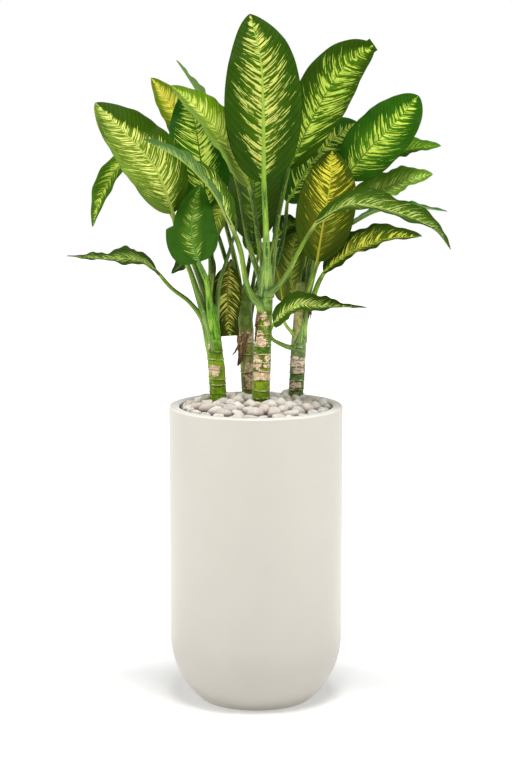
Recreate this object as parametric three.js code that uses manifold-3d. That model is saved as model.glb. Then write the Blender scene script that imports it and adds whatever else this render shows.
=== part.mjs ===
// A dieffenbachia with four canes in a tall cylindrical planter.
// Millimetres, +Z up. The origin is the centre of the planter's flat foot, and -Y is the front.
import * as THREE from 'three';
import { mergeVertices } from 'three/addons/utils/BufferGeometryUtils.js';
import Module from 'manifold-3d';

// Driving dimensions.
const GAP = 0.3;                 // clearance between two pieces that touch
const SMALLEST_FACE = 0.08;      // faces smaller than this, left by a cut, are merged
const SAME_POINT = 1e-4;         // points closer than this are one

const POT_HEIGHT = 585;
const POT_RADIUS = 170;
const POT_FOOT_RADIUS = 110;     // flat foot below the bowl-shaped bottom
const POT_LIP_WIDTH = 20;
const POT_LIP_DEPTH = 28;        // height of the turned-in lip
const POT_LIP_SLOPE = 8;         // height of the slope below the lip
const POT_WALL = 13;
const POT_FLOOR = 16;
const POT_EDGE = 4;              // rounding of the lip's two edges
const POT_EDGE_STEPS = 3;
const POT_SEGMENTS = 36;
const BOWL_STEPS = 5;

const SOIL_TOP = 562;

const PEBBLE_BED_TOP = 576;
const PEBBLE_BED_MARGIN = 3;     // between the pebbles and the lip
const PEBBLE_SPACING = 32;
const PEBBLE_JITTER = 4;
const PEBBLE_LENGTH = [16, 21];  // half of a pebble's long axis
const PEBBLE_WIDTH = [12, 16];
const PEBBLE_THICKNESS = [11, 14];
const PEBBLE_RISE = [0, 4];      // height of a pebble's middle above the bed
const PEBBLE_TILT = 0.25;        // radians between a pebble's two steepest tilts
const PEBBLE_CROWN = 14;         // the middle of the layer is this much higher
const PEBBLE_EDGE = 13;          // the outermost pebbles' middles lie this far in
const PEBBLE_SEED = 11;

const CANE_SIDES = 10;
const CANE_ROOT = 470;           // lower end of every cane, in the soil
const CANE_ROOT_SHARE = 0.9;     // radius down there, as a share of that at the pebbles
const CANE_CROWN_RISE = 0.5;     // height of the cap on a cane's top, as a share of the radius there
const CANE_CROWN_SHARE = 0.6;    // radius of the cap's upper end, as a share of the same
const NODE_RING = 1.3;           // how far a leaf scar stands out from the cane
const NODE_RING_HALF = 3;

const BLADE_STATIONS = 9;
const SMALL_BLADE_STATIONS = 7;
const SMALL_BLADE = 85;          // a blade narrower than this has the fewer stations
const BLADE_ROUNDNESS = [0.5, 0.72];  // powers of a blade's outline at base and tip: less is rounder
const BLADE_MIDDLE = 0.5;        // share of the length that parts the base from the tip
const LARGE_BLADE = 100;         // a blade this wide or wider has the stoutest petiole
const SLIMMEST_PETIOLE = 0.55;   // of a blade of no width, as a share of the stoutest
const BLADE_THICKNESS = 1.2;
const BLADE_TIP_HALF = 1.2;
const BLADE_BASE_HALF = 3;
const BLADE_COLUMNS = [-1, -0.55, 0, 0.55, 1];
const NICK_SHARE = 0.27;         // of a half blade's width that is torn away beyond its nick
const WAVE_SHIFT = 1.9;          // radians by which the left edge's waves run ahead
const MIDRIB_DEPTH = 2.4;        // how far the midrib stands out below the blade
const PETIOLE_BASE_RADIUS = 10;  // of a large leaf's petiole
const PETIOLE_END_RADIUS = 4;
const PETIOLE_TAPER = 1.3;       // power of the taper: more is slimmer sooner
const SHEATH_LENGTH = 45;        // the petiole's lower stretch, which clasps the cane
const SHEATH_TOP_OUT = 0.7;      // its middle at the top, in cane radii out from the cane's middle
const SHEATH_FOOT_OUT = 0.28;    // and at the foot
const PETIOLE_SIDES = 5;
const PETIOLE_STATIONS = 6;
const PETIOLE_INTO_BLADE = 8;    // how far the petiole reaches in below the blade

const CERAMIC = { color: 0xe4dfd2, roughness: 0.75, metalness: 0 };
const EARTH = { color: 0x3a2c20, roughness: 0.95, metalness: 0 };
const STONE = { color: 0xddd3c8, roughness: 0.7, metalness: 0 };
const BARK = { color: 0x5f7a37, roughness: 0.6, metalness: 0 };
const LEAF = { color: 0x47702f, roughness: 0.45, metalness: 0 };

// Each cane: its centre line from the pebbles to the top, the radius at each of those
// points, and the heights of its leaf scars.
const CANES = {
  front: {
    line: [[9, -15, 587], [11, -15, 656], [14, -15, 725], [18, -15, 793], [21, -15, 859]],
    radii: [17.5, 17, 16.5, 14.5, 10],
    scars: [603, 618, 638, 656, 674, 690, 705, 727],
  },
  left: {
    line: [[-74, 20, 590], [-77, 20, 651], [-83, 20, 710], [-87, 20, 775]],
    radii: [16.5, 16.5, 15.5, 11.5],
    scars: [608, 624, 636, 655, 673, 689],
  },
  back: {
    line: [[-15, 75, 587], [-17, 75, 653], [-20, 75, 723], [-25, 75, 805]],
    radii: [12.5, 14, 15.5, 13],
    scars: [608, 640, 676, 702],
  },
  right: {
    line: [[79, 70, 590], [82, 70, 644], [85, 70, 704], [89, 70, 770], [91, 70, 815]],
    radii: [14.5, 15, 15, 13.5, 11],
    scars: [606, 624, 640, 654, 668, 690],
  },
};

// Each leaf: the cane and the height that it grows from, its petiole's way to the blade,
// the blade's midrib from base to tip, the blade's width, the way its upper side faces at
// the base and at the tip, its fold in degrees, the height and number of its waves, and
// where one has it, the share of the length from which one half is torn narrower (nick),
// half the width of its blunt end (blunt), the powers of its own outline (round), how much
// stouter its petiole is (stout), or in how many steps its petiole bends, where it turns
// back on itself (steps).
const LEAVES = {
  top_centre: {
    cane: 'front', from: 800, petiole: [[19, -30, 930]],
    midrib: [[15, -38, 1022], [14, -42, 1140], [9, -28, 1253], [-12, 0, 1340]],
    width: 149, faces: [[0, -1, 0.1], [0, -1, 0.5]], fold: 8, waves: [3, 3], stout: 1.3,
  },
  upper_right: {
    cane: 'front', from: 785, petiole: [[39, 2, 928], [52, 15, 994]],
    midrib: [[64, 28, 1046], [118, 42, 1156], [170, 50, 1238], [228, 42, 1282]],
    width: 112, faces: [[-0.2, -1, 0.3], [-0.1, -1, 0.5]], fold: 14, waves: [3, 2],
    round: [0.52, 0.62], blunt: 15,
  },
  front_arch: {
    cane: 'front', from: 760, petiole: [[50, -50, 832], [84, -85, 900]],
    midrib: [[113, -100, 951], [180, -122, 986], [262, -136, 972], [334, -132, 940], [366, -126, 902]],
    width: 106, faces: [[-0.3, -0.35, 1], [0.4, -0.22, 1]], fold: 13, waves: [4, 3],
  },
  upper_left: {
    cane: 'front', from: 815, petiole: [[4, -2, 915], [-6, -2, 980]],
    midrib: [[-13, -4, 1012], [-53, -10, 1090], [-101, -16, 1150], [-162, -10, 1205]],
    width: 100, faces: [[0.5, -0.7, 0.5], [0.57, -0.64, 0.5]], fold: 20, waves: [3, 3],
  },
  crossing_left: {
    cane: 'front', from: 735, petiole: [[-14, -45, 816], [-31, -65, 899]],
    midrib: [[-47, -78, 945], [-83, -98, 1012], [-139, -112, 1068], [-211, -118, 1107]],
    width: 94, faces: [[0.67, -0.5, 0.6], [0.1, 0.35, 1]], fold: 22, waves: [3, 3], stout: 1.2,
  },
  top_left: {
    cane: 'front', from: 778, petiole: [[-14, 4, 900], [-30, 22, 984]],
    midrib: [[-42, 32, 1040], [-74, 44, 1128], [-115, 60, 1193], [-155, 74, 1252]],
    width: 80, faces: [[1, 0.1, 0.5], [1, 0.1, 0.7]], fold: 16, waves: [3, 3],
  },
  lower_left: {
    cane: 'left', from: 655, petiole: [[-104, 12, 750], [-129, 0, 787], [-164, -30, 819]],
    midrib: [[-190, -55, 855], [-228, -82, 878], [-294, -98, 881], [-358, -100, 887]],
    width: 90, faces: [[0.4, -0.4, 1], [-0.1, 0, 1]], fold: 8, waves: [4, 3], round: [0.34, 0.76],
  },
  left_front: {
    cane: 'left', from: 715, petiole: [[-95, -25, 830]],
    midrib: [[-110, -46, 870], [-123, -62, 922], [-119, -60, 975], [-106, -38, 1018]],
    width: 100, faces: [[0.1, -1, 0.2], [0, -0.8, 0.7]], fold: 8, waves: [5, 2],
    round: [0.38, 0.8], stout: 1.3, nick: 0.42,
  },
  big_left: {
    cane: 'left', from: 690, petiole: [[-122, 0, 831], [-145, -12, 896]],
    midrib: [[-160, -20, 962], [-190, -32, 1044], [-243, -28, 1108], [-308, -5, 1172]],
    width: 122, faces: [[0.1, -1, 0.3], [0.3, -0.9, 0.6]], fold: 12, waves: [4, 3],
    round: [0.58, 0.7], stout: 1.15,
  },
  left_drooping: {
    cane: 'left', from: 740, petiole: [[-116, 42, 845], [-158, 58, 940]],
    midrib: [[-215, 62, 1044], [-256, 48, 1055], [-295, 30, 1003], [-317, 14, 933]],
    width: 58, faces: [[0, -0.6, 1], [-0.8, -0.7, 0.3]], fold: 16, waves: [3, 2], stout: 1.25,
  },
  left_inner: {
    cane: 'left', from: 735, petiole: [[-87, 24, 840], [-90, 42, 900]],
    midrib: [[-95, 58, 960], [-108, 80, 1055], [-122, 100, 1135], [-142, 120, 1188]],
    width: 118, faces: [[0.1, -1, 0.1], [0, -1, 0.4]], fold: 10, waves: [4, 2], stout: 1.25,
  },
  inner_hanging: {
    cane: 'back', from: 695, petiole: [[-42, 73, 785], [-46, 76, 838], [-49, 67, 862]],
    midrib: [[-53, 54, 852], [-56, 42, 795], [-52, 42, 716]],
    width: 58, faces: [[-0.3, -1, 0.3], [0.1, -1, 0]], fold: 10, waves: [3, 2], blunt: 19, steps: 14,
  },
  back_left_upper: {
    cane: 'back', from: 725, petiole: [[-36, 92, 830], [-60, 104, 930], [-88, 130, 1010]],
    midrib: [[-122, 152, 1070], [-159, 152, 1146], [-207, 144, 1217]],
    width: 72, faces: [[0.4, -1, 0.3], [0.4, -1, 0.5]], fold: 12, waves: [3, 2],
  },
  centre_hanging: {
    cane: 'left', from: 722, petiole: [[-72, 20, 818], [-50, 18, 890], [-38, 12, 940]],
    midrib: [[-45, 4, 970], [-68, -4, 958], [-84, -9, 900]],
    width: 51, faces: [[-0.3, -0.7, 0.6], [-0.6, -0.8, 0.3]], fold: 14, waves: [2, 2], steps: 12,
  },
  left_low_back: {
    cane: 'left', from: 700, petiole: [[-88, 50, 800], [-82, 78, 850]],
    midrib: [[-91, 92, 878], [-129, 106, 864], [-168, 108, 832]],
    width: 58, faces: [[-0.1, -0.5, 1], [-0.4, -0.5, 0.8]], fold: 10, waves: [3, 2],
  },
  inner_back: {
    cane: 'back', from: 690, petiole: [[8, 102, 830], [28, 122, 872]],
    midrib: [[42, 130, 900], [62, 142, 922], [84, 156, 926], [102, 168, 905]],
    width: 58, faces: [[-0.2, -0.7, 1], [0.2, -0.5, 1]], fold: 10, waves: [3, 2],
  },
  right_large: {
    cane: 'right', from: 765, petiole: [[110, 75, 866], [142, 80, 941]],
    midrib: [[175, 78, 1025], [219, 66, 1078], [273, 58, 1134], [316, 62, 1184]],
    width: 111, faces: [[0.3, -1, 0.4], [0.3, -0.8, 0.8]], fold: 12, waves: [4, 3], round: [0.52, 0.6],
  },
  right_behind: {
    cane: 'back', from: 735, petiole: [[40, 96, 856], [56, 112, 918]],
    midrib: [[62, 120, 973], [111, 130, 1049], [158, 132, 1102], [201, 127, 1130]],
    width: 105, faces: [[0, -1, 0.4], [0.1, -0.8, 0.8]], fold: 8, waves: [4, 2],
  },
  right_far: {
    cane: 'right', from: 745, petiole: [[119, 104, 872], [154, 124, 967]],
    midrib: [[190, 130, 1041], [255, 125, 1068], [308, 115, 1079], [364, 102, 1085]],
    width: 72, faces: [[-0.4, -0.6, 1], [0, -0.5, 1]], fold: 12, waves: [3, 3],
  },
  right_dark: {
    cane: 'right', from: 725, petiole: [[120, 88, 852], [154, 98, 935]],
    midrib: [[182, 100, 976], [240, 92, 998], [293, 80, 1018], [346, 66, 1031]],
    width: 88, faces: [[-0.3, -0.7, 1], [-0.2, -0.6, 1]], fold: 10, waves: [4, 3],
  },
  right_yellow: {
    cane: 'right', from: 735, petiole: [[106, 38, 820]],
    midrib: [[119, 30, 864], [132, 18, 948], [144, 24, 1020], [148, 42, 1080]],
    width: 116, faces: [[0.1, -1, 0.1], [0, -1, 0.5]], fold: 10, waves: [4, 2],
  },
  right_thin: {
    cane: 'right', from: 755, petiole: [[119, 59, 852], [152, 54, 905]],
    midrib: [[180, 50, 932], [236, 40, 961], [302, 25, 969], [370, 8, 963]],
    width: 62, faces: [[-0.4, 0, 1], [0.1, 0, 1]], fold: 16, waves: [3, 3],
  },
  right_lower: {
    cane: 'right', from: 700, petiole: [[112, 48, 790], [122, 40, 820]],
    midrib: [[132, 29, 843], [184, 10, 884], [246, -2, 909], [320, -15, 917]],
    width: 98, faces: [[-0.4, -0.6, 1], [0.1, -0.35, 1]], fold: 18, waves: [4, 3], stout: 1.25,
  },
  right_back_low: {
    cane: 'right', from: 690, petiole: [[96, 96, 735], [86, 110, 752]],
    midrib: [[80, 120, 770], [70, 136, 828], [76, 168, 882], [92, 212, 915]],
    width: 62, faces: [[0.1, -1, 0.1], [0, -0.7, 0.7]], fold: 10, waves: [3, 2],
  },
  front_low_right: {
    cane: 'right', from: 640, petiole: [[58, 46, 695], [32, 8, 714], [27, -16, 731]],
    midrib: [[34, -34, 751], [76, -60, 787], [142, -78, 788], [212, -72, 785]],
    width: 66, faces: [[-0.5, -0.8, 0.7], [0.1, 0, 1]], fold: 12, waves: [3, 3],
    round: [0.36, 0.72],
  },
  inner_small: {
    cane: 'right', from: 664, petiole: [[56, 48, 742]],
    midrib: [[52, 44, 784], [46, 48, 822], [37, 54, 856]],
    width: 38, faces: [[0.3, -1, 0.1], [0.3, -1, 0.3]], fold: 20, waves: [1, 1],
  },
  rear_high: {
    cane: 'back', from: 745, petiole: [[-20, 118, 815], [-12, 138, 860]],
    midrib: [[-6, 152, 892], [-4, 198, 965], [0, 248, 1032], [8, 314, 1068]],
    width: 112, faces: [[0, -1, 0.3], [0, -0.6, 1]], fold: 12, waves: [4, 3],
  },
  rear_right: {
    cane: 'right', from: 775, petiole: [[104, 112, 880], [118, 156, 960]],
    midrib: [[128, 190, 1010], [152, 235, 1040], [180, 278, 1040], [206, 316, 1005]],
    width: 88, faces: [[-0.2, -0.4, 1], [0.3, 0.4, 1]], fold: 12, waves: [4, 3],
  },
  rear_left: {
    cane: 'back', from: 705, petiole: [[-52, 120, 830], [-78, 150, 910]],
    midrib: [[-98, 170, 950], [-128, 210, 985], [-160, 250, 990], [-190, 290, 960]],
    width: 96, faces: [[0.2, -0.4, 1], [-0.2, 0.3, 1]], fold: 12, waves: [4, 3],
  },
  rear_low: {
    cane: 'back', from: 675, petiole: [[-12, 118, 770], [-2, 160, 830]],
    midrib: [[4, 190, 860], [14, 230, 880], [24, 275, 870], [30, 315, 835]],
    width: 88, faces: [[0, -0.5, 1], [0, 0.4, 1]], fold: 12, waves: [4, 3],
  },
};

const wasm = await Module();
wasm.setup();

// Shares from 0 to 1, the same on every run: each state is a fixed multiple of the last one.
function seededRandom(seed) {
  const multiplier = 16807;
  const modulus = 2147483647;
  let state = seed;
  return () => {
    state = (state * multiplier) % modulus;
    return state / modulus;
  };
}

function between(range, share) {
  return range[0] + (range[1] - range[0]) * share;
}

function toSolid(geometry) {
  geometry.deleteAttribute('normal');
  geometry.deleteAttribute('uv');
  const merged = mergeVertices(geometry, SAME_POINT);
  return new wasm.Manifold(new wasm.Mesh({
    numProp: 3,
    vertProperties: new Float32Array(merged.attributes.position.array),
    triVerts: new Uint32Array(merged.index.array),
  }));
}

function toGeometry(solid) {
  const mesh = solid.getMesh();
  const geometry = new THREE.BufferGeometry();
  geometry.setAttribute('position', new THREE.BufferAttribute(mesh.vertProperties, 3));
  geometry.setIndex(new THREE.BufferAttribute(mesh.triVerts, 1));
  geometry.computeVertexNormals();
  return geometry;
}

// The largest body of a solid that a cut has left in several, without its smallest faces.
function largestBody(solid) {
  const body = solid.decompose().reduce((a, b) => (b.volume() > a.volume() ? b : a));
  return body.simplify(SMALLEST_FACE);
}

function fromPoints(points, indices) {
  const geometry = new THREE.BufferGeometry();
  const numbers = points.flatMap((point) => point.toArray());
  geometry.setAttribute('position', new THREE.Float32BufferAttribute(numbers, 3));
  geometry.setIndex(indices);
  return geometry;
}

// A closed body through rings of points, each ring counter-clockwise seen from the last one.
function loft(rings) {
  const count = rings[0].length;
  const last = (rings.length - 1) * count;
  const indices = [];
  for (let i = 0; i + 1 < rings.length; i += 1) {
    for (let j = 0; j < count; j += 1) {
      const a = i * count + j;
      const b = i * count + ((j + 1) % count);
      indices.push(a, b, b + count, a, b + count, a + count);
    }
  }
  for (let j = 1; j + 1 < count; j += 1) {
    indices.push(0, j + 1, j, last, last + j, last + j + 1);
  }
  return toSolid(fromPoints(rings.flat(), indices));
}

// A round tube along a curve, with its own radius at each share of the length.
function taperedTube(curve, stations, radiusAt, sides) {
  const frames = curve.computeFrenetFrames(stations);
  const rings = [];
  for (let i = 0; i <= stations; i += 1) {
    const share = i / stations;
    const centre = curve.getPointAt(share);
    const circle = [];
    for (let j = 0; j < sides; j += 1) {
      const angle = (j / sides) * 2 * Math.PI;
      circle.push(centre.clone()
        .addScaledVector(frames.normals[i], radiusAt(share) * Math.cos(angle))
        .addScaledVector(frames.binormals[i], radiusAt(share) * Math.sin(angle)));
    }
    rings.push(circle);
  }
  return loft(rings);
}

function vectors(list) {
  return list.map((p) => new THREE.Vector3(...p));
}

function lathe(profile, segments) {
  const geometry = new THREE.LatheGeometry(profile.map(([r, z]) => new THREE.Vector2(r, z)), segments);
  geometry.rotateX(Math.PI / 2);
  return toSolid(geometry);
}

// A quarter circle along the rim's edge: side is 1 at the outer wall and -1 at the mouth.
function rimEdge(radius, side) {
  const arc = [];
  for (let i = 0; i <= POT_EDGE_STEPS; i += 1) {
    const angle = (i / POT_EDGE_STEPS) * Math.PI / 2;
    arc.push([
      radius - side * POT_EDGE * (1 - Math.cos(angle)),
      POT_HEIGHT - POT_EDGE * (1 - Math.sin(angle)),
    ]);
  }
  return arc;
}

// Planter: flat foot, bowl-shaped bottom, straight wall and a lip turned inwards.
function potProfile() {
  const bowlCentre = Math.sqrt(POT_RADIUS ** 2 - POT_FOOT_RADIUS ** 2);
  const inside = POT_RADIUS - POT_WALL;
  const mouth = POT_RADIUS - POT_LIP_WIDTH;
  const outer = [[0, 0]];
  const inner = [];
  const lowest = Math.asin(-bowlCentre / POT_RADIUS);
  for (let i = 0; i <= BOWL_STEPS; i += 1) {
    const angle = lowest * (1 - i / BOWL_STEPS);
    outer.push([POT_RADIUS * Math.cos(angle), bowlCentre + POT_RADIUS * Math.sin(angle)]);
  }
  const floorAngle = Math.asin((POT_FLOOR - bowlCentre) / inside);
  for (let i = BOWL_STEPS; i >= 0; i -= 1) {
    const angle = floorAngle * (1 - i / BOWL_STEPS);
    inner.push([inside * Math.cos(angle), bowlCentre + inside * Math.sin(angle)]);
  }
  inner.push([0, POT_FLOOR]);
  const rim = [...rimEdge(POT_RADIUS, 1), ...rimEdge(mouth, -1).reverse()];
  const lip = [
    [mouth, POT_HEIGHT - POT_LIP_DEPTH],
    [inside, POT_HEIGHT - POT_LIP_DEPTH - POT_LIP_SLOPE],
  ];
  return { outer, rim, lip, inner };
}

function makePot() {
  const { outer, rim, lip, inner } = potProfile();
  return lathe([...outer, ...rim, ...lip, ...inner], POT_SEGMENTS);
}

// Everything inside the planter's wall, drawn in by one gap, up to a given height.
function makeFilling(top) {
  const { lip, inner } = potProfile();
  const bore = [...lip, ...inner.slice(0, -1)].reverse();
  const side = bore.map(([r, z], i) => [r - GAP, i === 0 ? z + GAP : z]);
  const mouth = POT_RADIUS - POT_LIP_WIDTH - GAP;
  return lathe([[0, POT_FLOOR + GAP], ...side, [mouth, top], [0, top]], POT_SEGMENTS);
}

// The cane's centre line and radii, carried on straight down to its root.
function caneLine(cane) {
  const line = vectors(cane.line);
  const slope = line[1].clone().sub(line[0]);
  const root = line[0].clone().addScaledVector(slope, (CANE_ROOT - line[0].z) / slope.z);
  return { line: [root, ...line], radii: [cane.radii[0] * CANE_ROOT_SHARE, ...cane.radii] };
}

// The cane's centre and radius at a height, straight from one given point to the next.
function caneAt(cane, height) {
  const { line, radii } = caneLine(cane);
  let i = 0;
  while (i + 2 < line.length && height > line[i + 1].z) {
    i += 1;
  }
  const share = (height - line[i].z) / (line[i + 1].z - line[i].z);
  return {
    centre: line[i].clone().lerp(line[i + 1], share),
    radius: radii[i] + (radii[i + 1] - radii[i]) * share,
  };
}

// Rings up the cane, with a bump at each leaf scar and a cap on top.
function caneRings(cane, extra) {
  const { line } = caneLine(cane);
  const top = line[line.length - 1].z;
  const heights = line.map((p) => ({ z: p.z, bump: 0 }));
  for (const scar of cane.scars) {
    heights.push({ z: scar - NODE_RING_HALF, bump: 0 }, { z: scar, bump: NODE_RING });
    heights.push({ z: scar + NODE_RING_HALF, bump: 0 });
  }
  heights.sort((a, b) => a.z - b.z);
  const rings = heights.map(({ z, bump }) => {
    const { centre, radius } = caneAt(cane, z);
    return ring(centre, radius + bump + extra);
  });
  const { centre, radius } = caneAt(cane, top);
  const cap = centre.clone().setZ(top + radius * CANE_CROWN_RISE + extra);
  rings.push(ring(cap, radius * CANE_CROWN_SHARE + extra));
  return rings;
}

function ring(centre, radius) {
  const points = [];
  for (let j = 0; j < CANE_SIDES; j += 1) {
    const angle = (j / CANE_SIDES) * 2 * Math.PI;
    points.push(new THREE.Vector3(
      centre.x + radius * Math.cos(angle), centre.y + radius * Math.sin(angle), centre.z));
  }
  return points;
}

function makeCane(cane, extra = 0) {
  return loft(caneRings(cane, extra));
}

// One tumbled pebble: a twenty-sided stone, stretched, turned and set at a place.
function pebbleGeometry(random, x, y) {
  const crown = PEBBLE_CROWN * (1 - Math.hypot(x, y) / POT_RADIUS);
  const geometry = new THREE.IcosahedronGeometry(1, 0);
  geometry.scale(
    between(PEBBLE_LENGTH, random()), between(PEBBLE_WIDTH, random()), between(PEBBLE_THICKNESS, random()));
  geometry.rotateX(PEBBLE_TILT * (random() - 0.5));
  geometry.rotateZ(random() * Math.PI);
  geometry.translate(x, y, PEBBLE_BED_TOP + crown + between(PEBBLE_RISE, random()));
  return geometry;
}

// Pebbles on a hexagonal grid, each moved a little at random, fused to a thin bed of stone.
function makePebbles() {
  const random = seededRandom(PEBBLE_SEED);
  const edge = POT_RADIUS - POT_LIP_WIDTH - PEBBLE_BED_MARGIN;
  const bottom = SOIL_TOP + GAP;
  const top = PEBBLE_BED_TOP;
  let layer = lathe([[0, bottom], [edge, bottom], [edge, top], [0, top]], POT_SEGMENTS);
  const row = PEBBLE_SPACING * Math.sqrt(3) / 2;
  const rows = Math.ceil(edge / row);
  for (let i = -rows; i <= rows; i += 1) {
    for (let j = -rows; j <= rows; j += 1) {
      const x = PEBBLE_SPACING * (j + (i % 2) / 2) + PEBBLE_JITTER * (2 * random() - 1);
      const y = row * i + PEBBLE_JITTER * (2 * random() - 1);
      if (Math.hypot(x, y) < edge - PEBBLE_EDGE) {
        layer = layer.add(toSolid(pebbleGeometry(random, x, y)));
      }
    }
  }
  const above = POT_HEIGHT + PEBBLE_SPACING;
  const mouth = lathe([[0, SOIL_TOP], [edge, SOIL_TOP], [edge, above], [0, above]], POT_SEGMENTS);
  return layer.intersect(mouth);
}

// The petiole's middle: from the sheath's foot in the cane, up and out, and into the blade.
function petioleCurve(leaf) {
  const cane = CANES[leaf.cane];
  const start = caneAt(cane, leaf.from);
  const sheathTop = caneAt(cane, leaf.from + SHEATH_LENGTH);
  const first = new THREE.Vector3(...leaf.petiole[0]);
  const outward = first.clone().sub(start.centre).setZ(0).normalize();
  const base = new THREE.Vector3(...leaf.midrib[0]);
  const next = new THREE.Vector3(...leaf.midrib[1]);
  return new THREE.CatmullRomCurve3([
    start.centre.clone().addScaledVector(outward, start.radius * SHEATH_FOOT_OUT),
    sheathTop.centre.clone().addScaledVector(outward, start.radius * SHEATH_TOP_OUT),
    ...vectors(leaf.petiole),
    base,
    base.clone().lerp(next, PETIOLE_INTO_BLADE / base.distanceTo(next)),
  ], false, 'centripetal');
}

// A petiole is slimmer below a narrow blade.
function makePetiole(leaf, extra = 0) {
  const slim = between([SLIMMEST_PETIOLE, 1], Math.min(1, leaf.width / LARGE_BLADE)) * (leaf.stout ?? 1);
  const range = [PETIOLE_END_RADIUS, PETIOLE_BASE_RADIUS];
  const radiusAt = (share) => extra + slim * between(range, (1 - share) ** PETIOLE_TAPER);
  return taperedTube(petioleCurve(leaf), leaf.steps ?? PETIOLE_STATIONS, radiusAt, PETIOLE_SIDES);
}

// The blade's outline, 1 where it is widest: a round base and a long tip.
function outlineAt(leaf, v) {
  const [base, tip] = leaf.round ?? BLADE_ROUNDNESS;
  const shape = (share) => share ** base * (1 - share) ** tip;
  return shape(v) / shape(base / (base + tip));
}

// Half of the blade's width at a share of its length.
function halfWidth(leaf, u, v) {
  const end = v < BLADE_MIDDLE ? BLADE_BASE_HALF : leaf.blunt ?? BLADE_TIP_HALF;
  const torn = leaf.nick && u < 0 && v > leaf.nick ? 1 - NICK_SHARE : 1;
  return Math.max(end, (leaf.width / 2) * outlineAt(leaf, v) * torn);
}

// The blade's middle, the way across it and the way up from it, at a share v of its length.
function bladeFrame(leaf, v) {
  const curve = new THREE.CatmullRomCurve3(vectors(leaf.midrib), false, 'centripetal');
  const along = curve.getTangent(v);
  const face = new THREE.Vector3(...leaf.faces[0]).normalize()
    .lerp(new THREE.Vector3(...leaf.faces[1]).normalize(), v);
  const across = new THREE.Vector3().crossVectors(along, face).normalize();
  const up = new THREE.Vector3().crossVectors(across, along).normalize();
  return { centre: curve.getPoint(v), across, up };
}

// A point of the blade: v runs from base to tip, and u from -1 to 1, edge to edge.
function bladePoint(leaf, frame, u, v, lift) {
  const fold = THREE.MathUtils.degToRad(leaf.fold);
  const half = halfWidth(leaf, u, v);
  const [height, count] = leaf.waves;
  const shift = u < 0 ? WAVE_SHIFT : 0;
  const fade = Math.sin(Math.PI * v);
  const wave = height * fade * Math.sin(2 * Math.PI * count * v + shift) * u * u;
  return frame.centre.clone()
    .addScaledVector(frame.across, u * half * Math.cos(fold))
    .addScaledVector(frame.up, Math.abs(u) * half * Math.sin(fold) + wave + lift);
}

// The blade: two faces split into triangles alike, with a midrib standing out below.
function makeBlade(leaf) {
  const columns = BLADE_COLUMNS.length;
  const stations = leaf.width < SMALL_BLADE ? SMALL_BLADE_STATIONS : BLADE_STATIONS;
  const points = [];
  for (let i = 0; i <= stations; i += 1) {
    const even = i / stations;
    const eased = (1 - Math.cos(Math.PI * even)) / 2;
    const v = (even + eased) / 2;
    const frame = bladeFrame(leaf, v);
    for (const u of BLADE_COLUMNS) {
      const rib = u === 0 ? MIDRIB_DEPTH * (1 - v) : 0;
      points.push(bladePoint(leaf, frame, u, v, BLADE_THICKNESS / 2));
      points.push(bladePoint(leaf, frame, u, v, -BLADE_THICKNESS / 2 - rib));
    }
  }
  const at = (i, j, under) => 2 * (i * columns + j) + under;
  const indices = [];
  const quad = (a, b, c, d) => indices.push(a, b, c, a, c, d);
  for (let i = 0; i < stations; i += 1) {
    for (let j = 0; j + 1 < columns; j += 1) {
      quad(at(i, j, 0), at(i, j + 1, 0), at(i + 1, j + 1, 0), at(i + 1, j, 0));
      indices.push(at(i, j, 1), at(i + 1, j + 1, 1), at(i, j + 1, 1));
      indices.push(at(i, j, 1), at(i + 1, j, 1), at(i + 1, j + 1, 1));
    }
    quad(at(i, 0, 1), at(i, 0, 0), at(i + 1, 0, 0), at(i + 1, 0, 1));
    const e = columns - 1;
    quad(at(i, e, 0), at(i, e, 1), at(i + 1, e, 1), at(i + 1, e, 0));
  }
  for (let j = 0; j + 1 < columns; j += 1) {
    quad(at(0, j, 1), at(0, j + 1, 1), at(0, j + 1, 0), at(0, j, 0));
    quad(at(stations, j, 0), at(stations, j + 1, 0), at(stations, j + 1, 1), at(stations, j, 1));
  }
  return toSolid(fromPoints(points, indices));
}

const plant = new THREE.Group();

function place(name, solid, look) {
  const mesh = new THREE.Mesh(toGeometry(solid), new THREE.MeshStandardMaterial(look));
  mesh.name = name;
  plant.add(mesh);
}

for (const [name, cane] of Object.entries(CANES)) {
  place(`cane_${name}`, makeCane(cane), BARK);
}
// The room that the canes take up, with the gap around them.
const holes = Object.values(CANES).map((cane) => makeCane(cane, GAP)).reduce((a, b) => a.add(b));
place('pot', makePot(), CERAMIC);
place('soil', makeFilling(SOIL_TOP).subtract(holes), EARTH);
place('pebble_layer', largestBody(makePebbles().subtract(holes)), STONE);

// Each leaf gives way to the canes and to the petioles before it.
let taken = holes;
for (const [name, leaf] of Object.entries(LEAVES)) {
  const petiole = makePetiole(leaf);
  const solid = makeBlade(leaf).add(petiole).subtract(taken);
  place(`leaf_${name}`, largestBody(solid), LEAF);
  taken = taken.add(makePetiole(leaf, GAP));
}

export default plant;
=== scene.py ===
"""A potted dieffenbachia: the fine pieces that stand for the part's solids.

Places and sizes are in millimetres, as in the part's source, and turn into metres where a mesh
is made. The camera, the lights and the studio are in metres. Each piece keeps the form of the
node that it stands for.
"""
import math
import random
from types import SimpleNamespace

import bmesh
import bpy
import numpy as np
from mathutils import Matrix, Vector, noise


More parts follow.
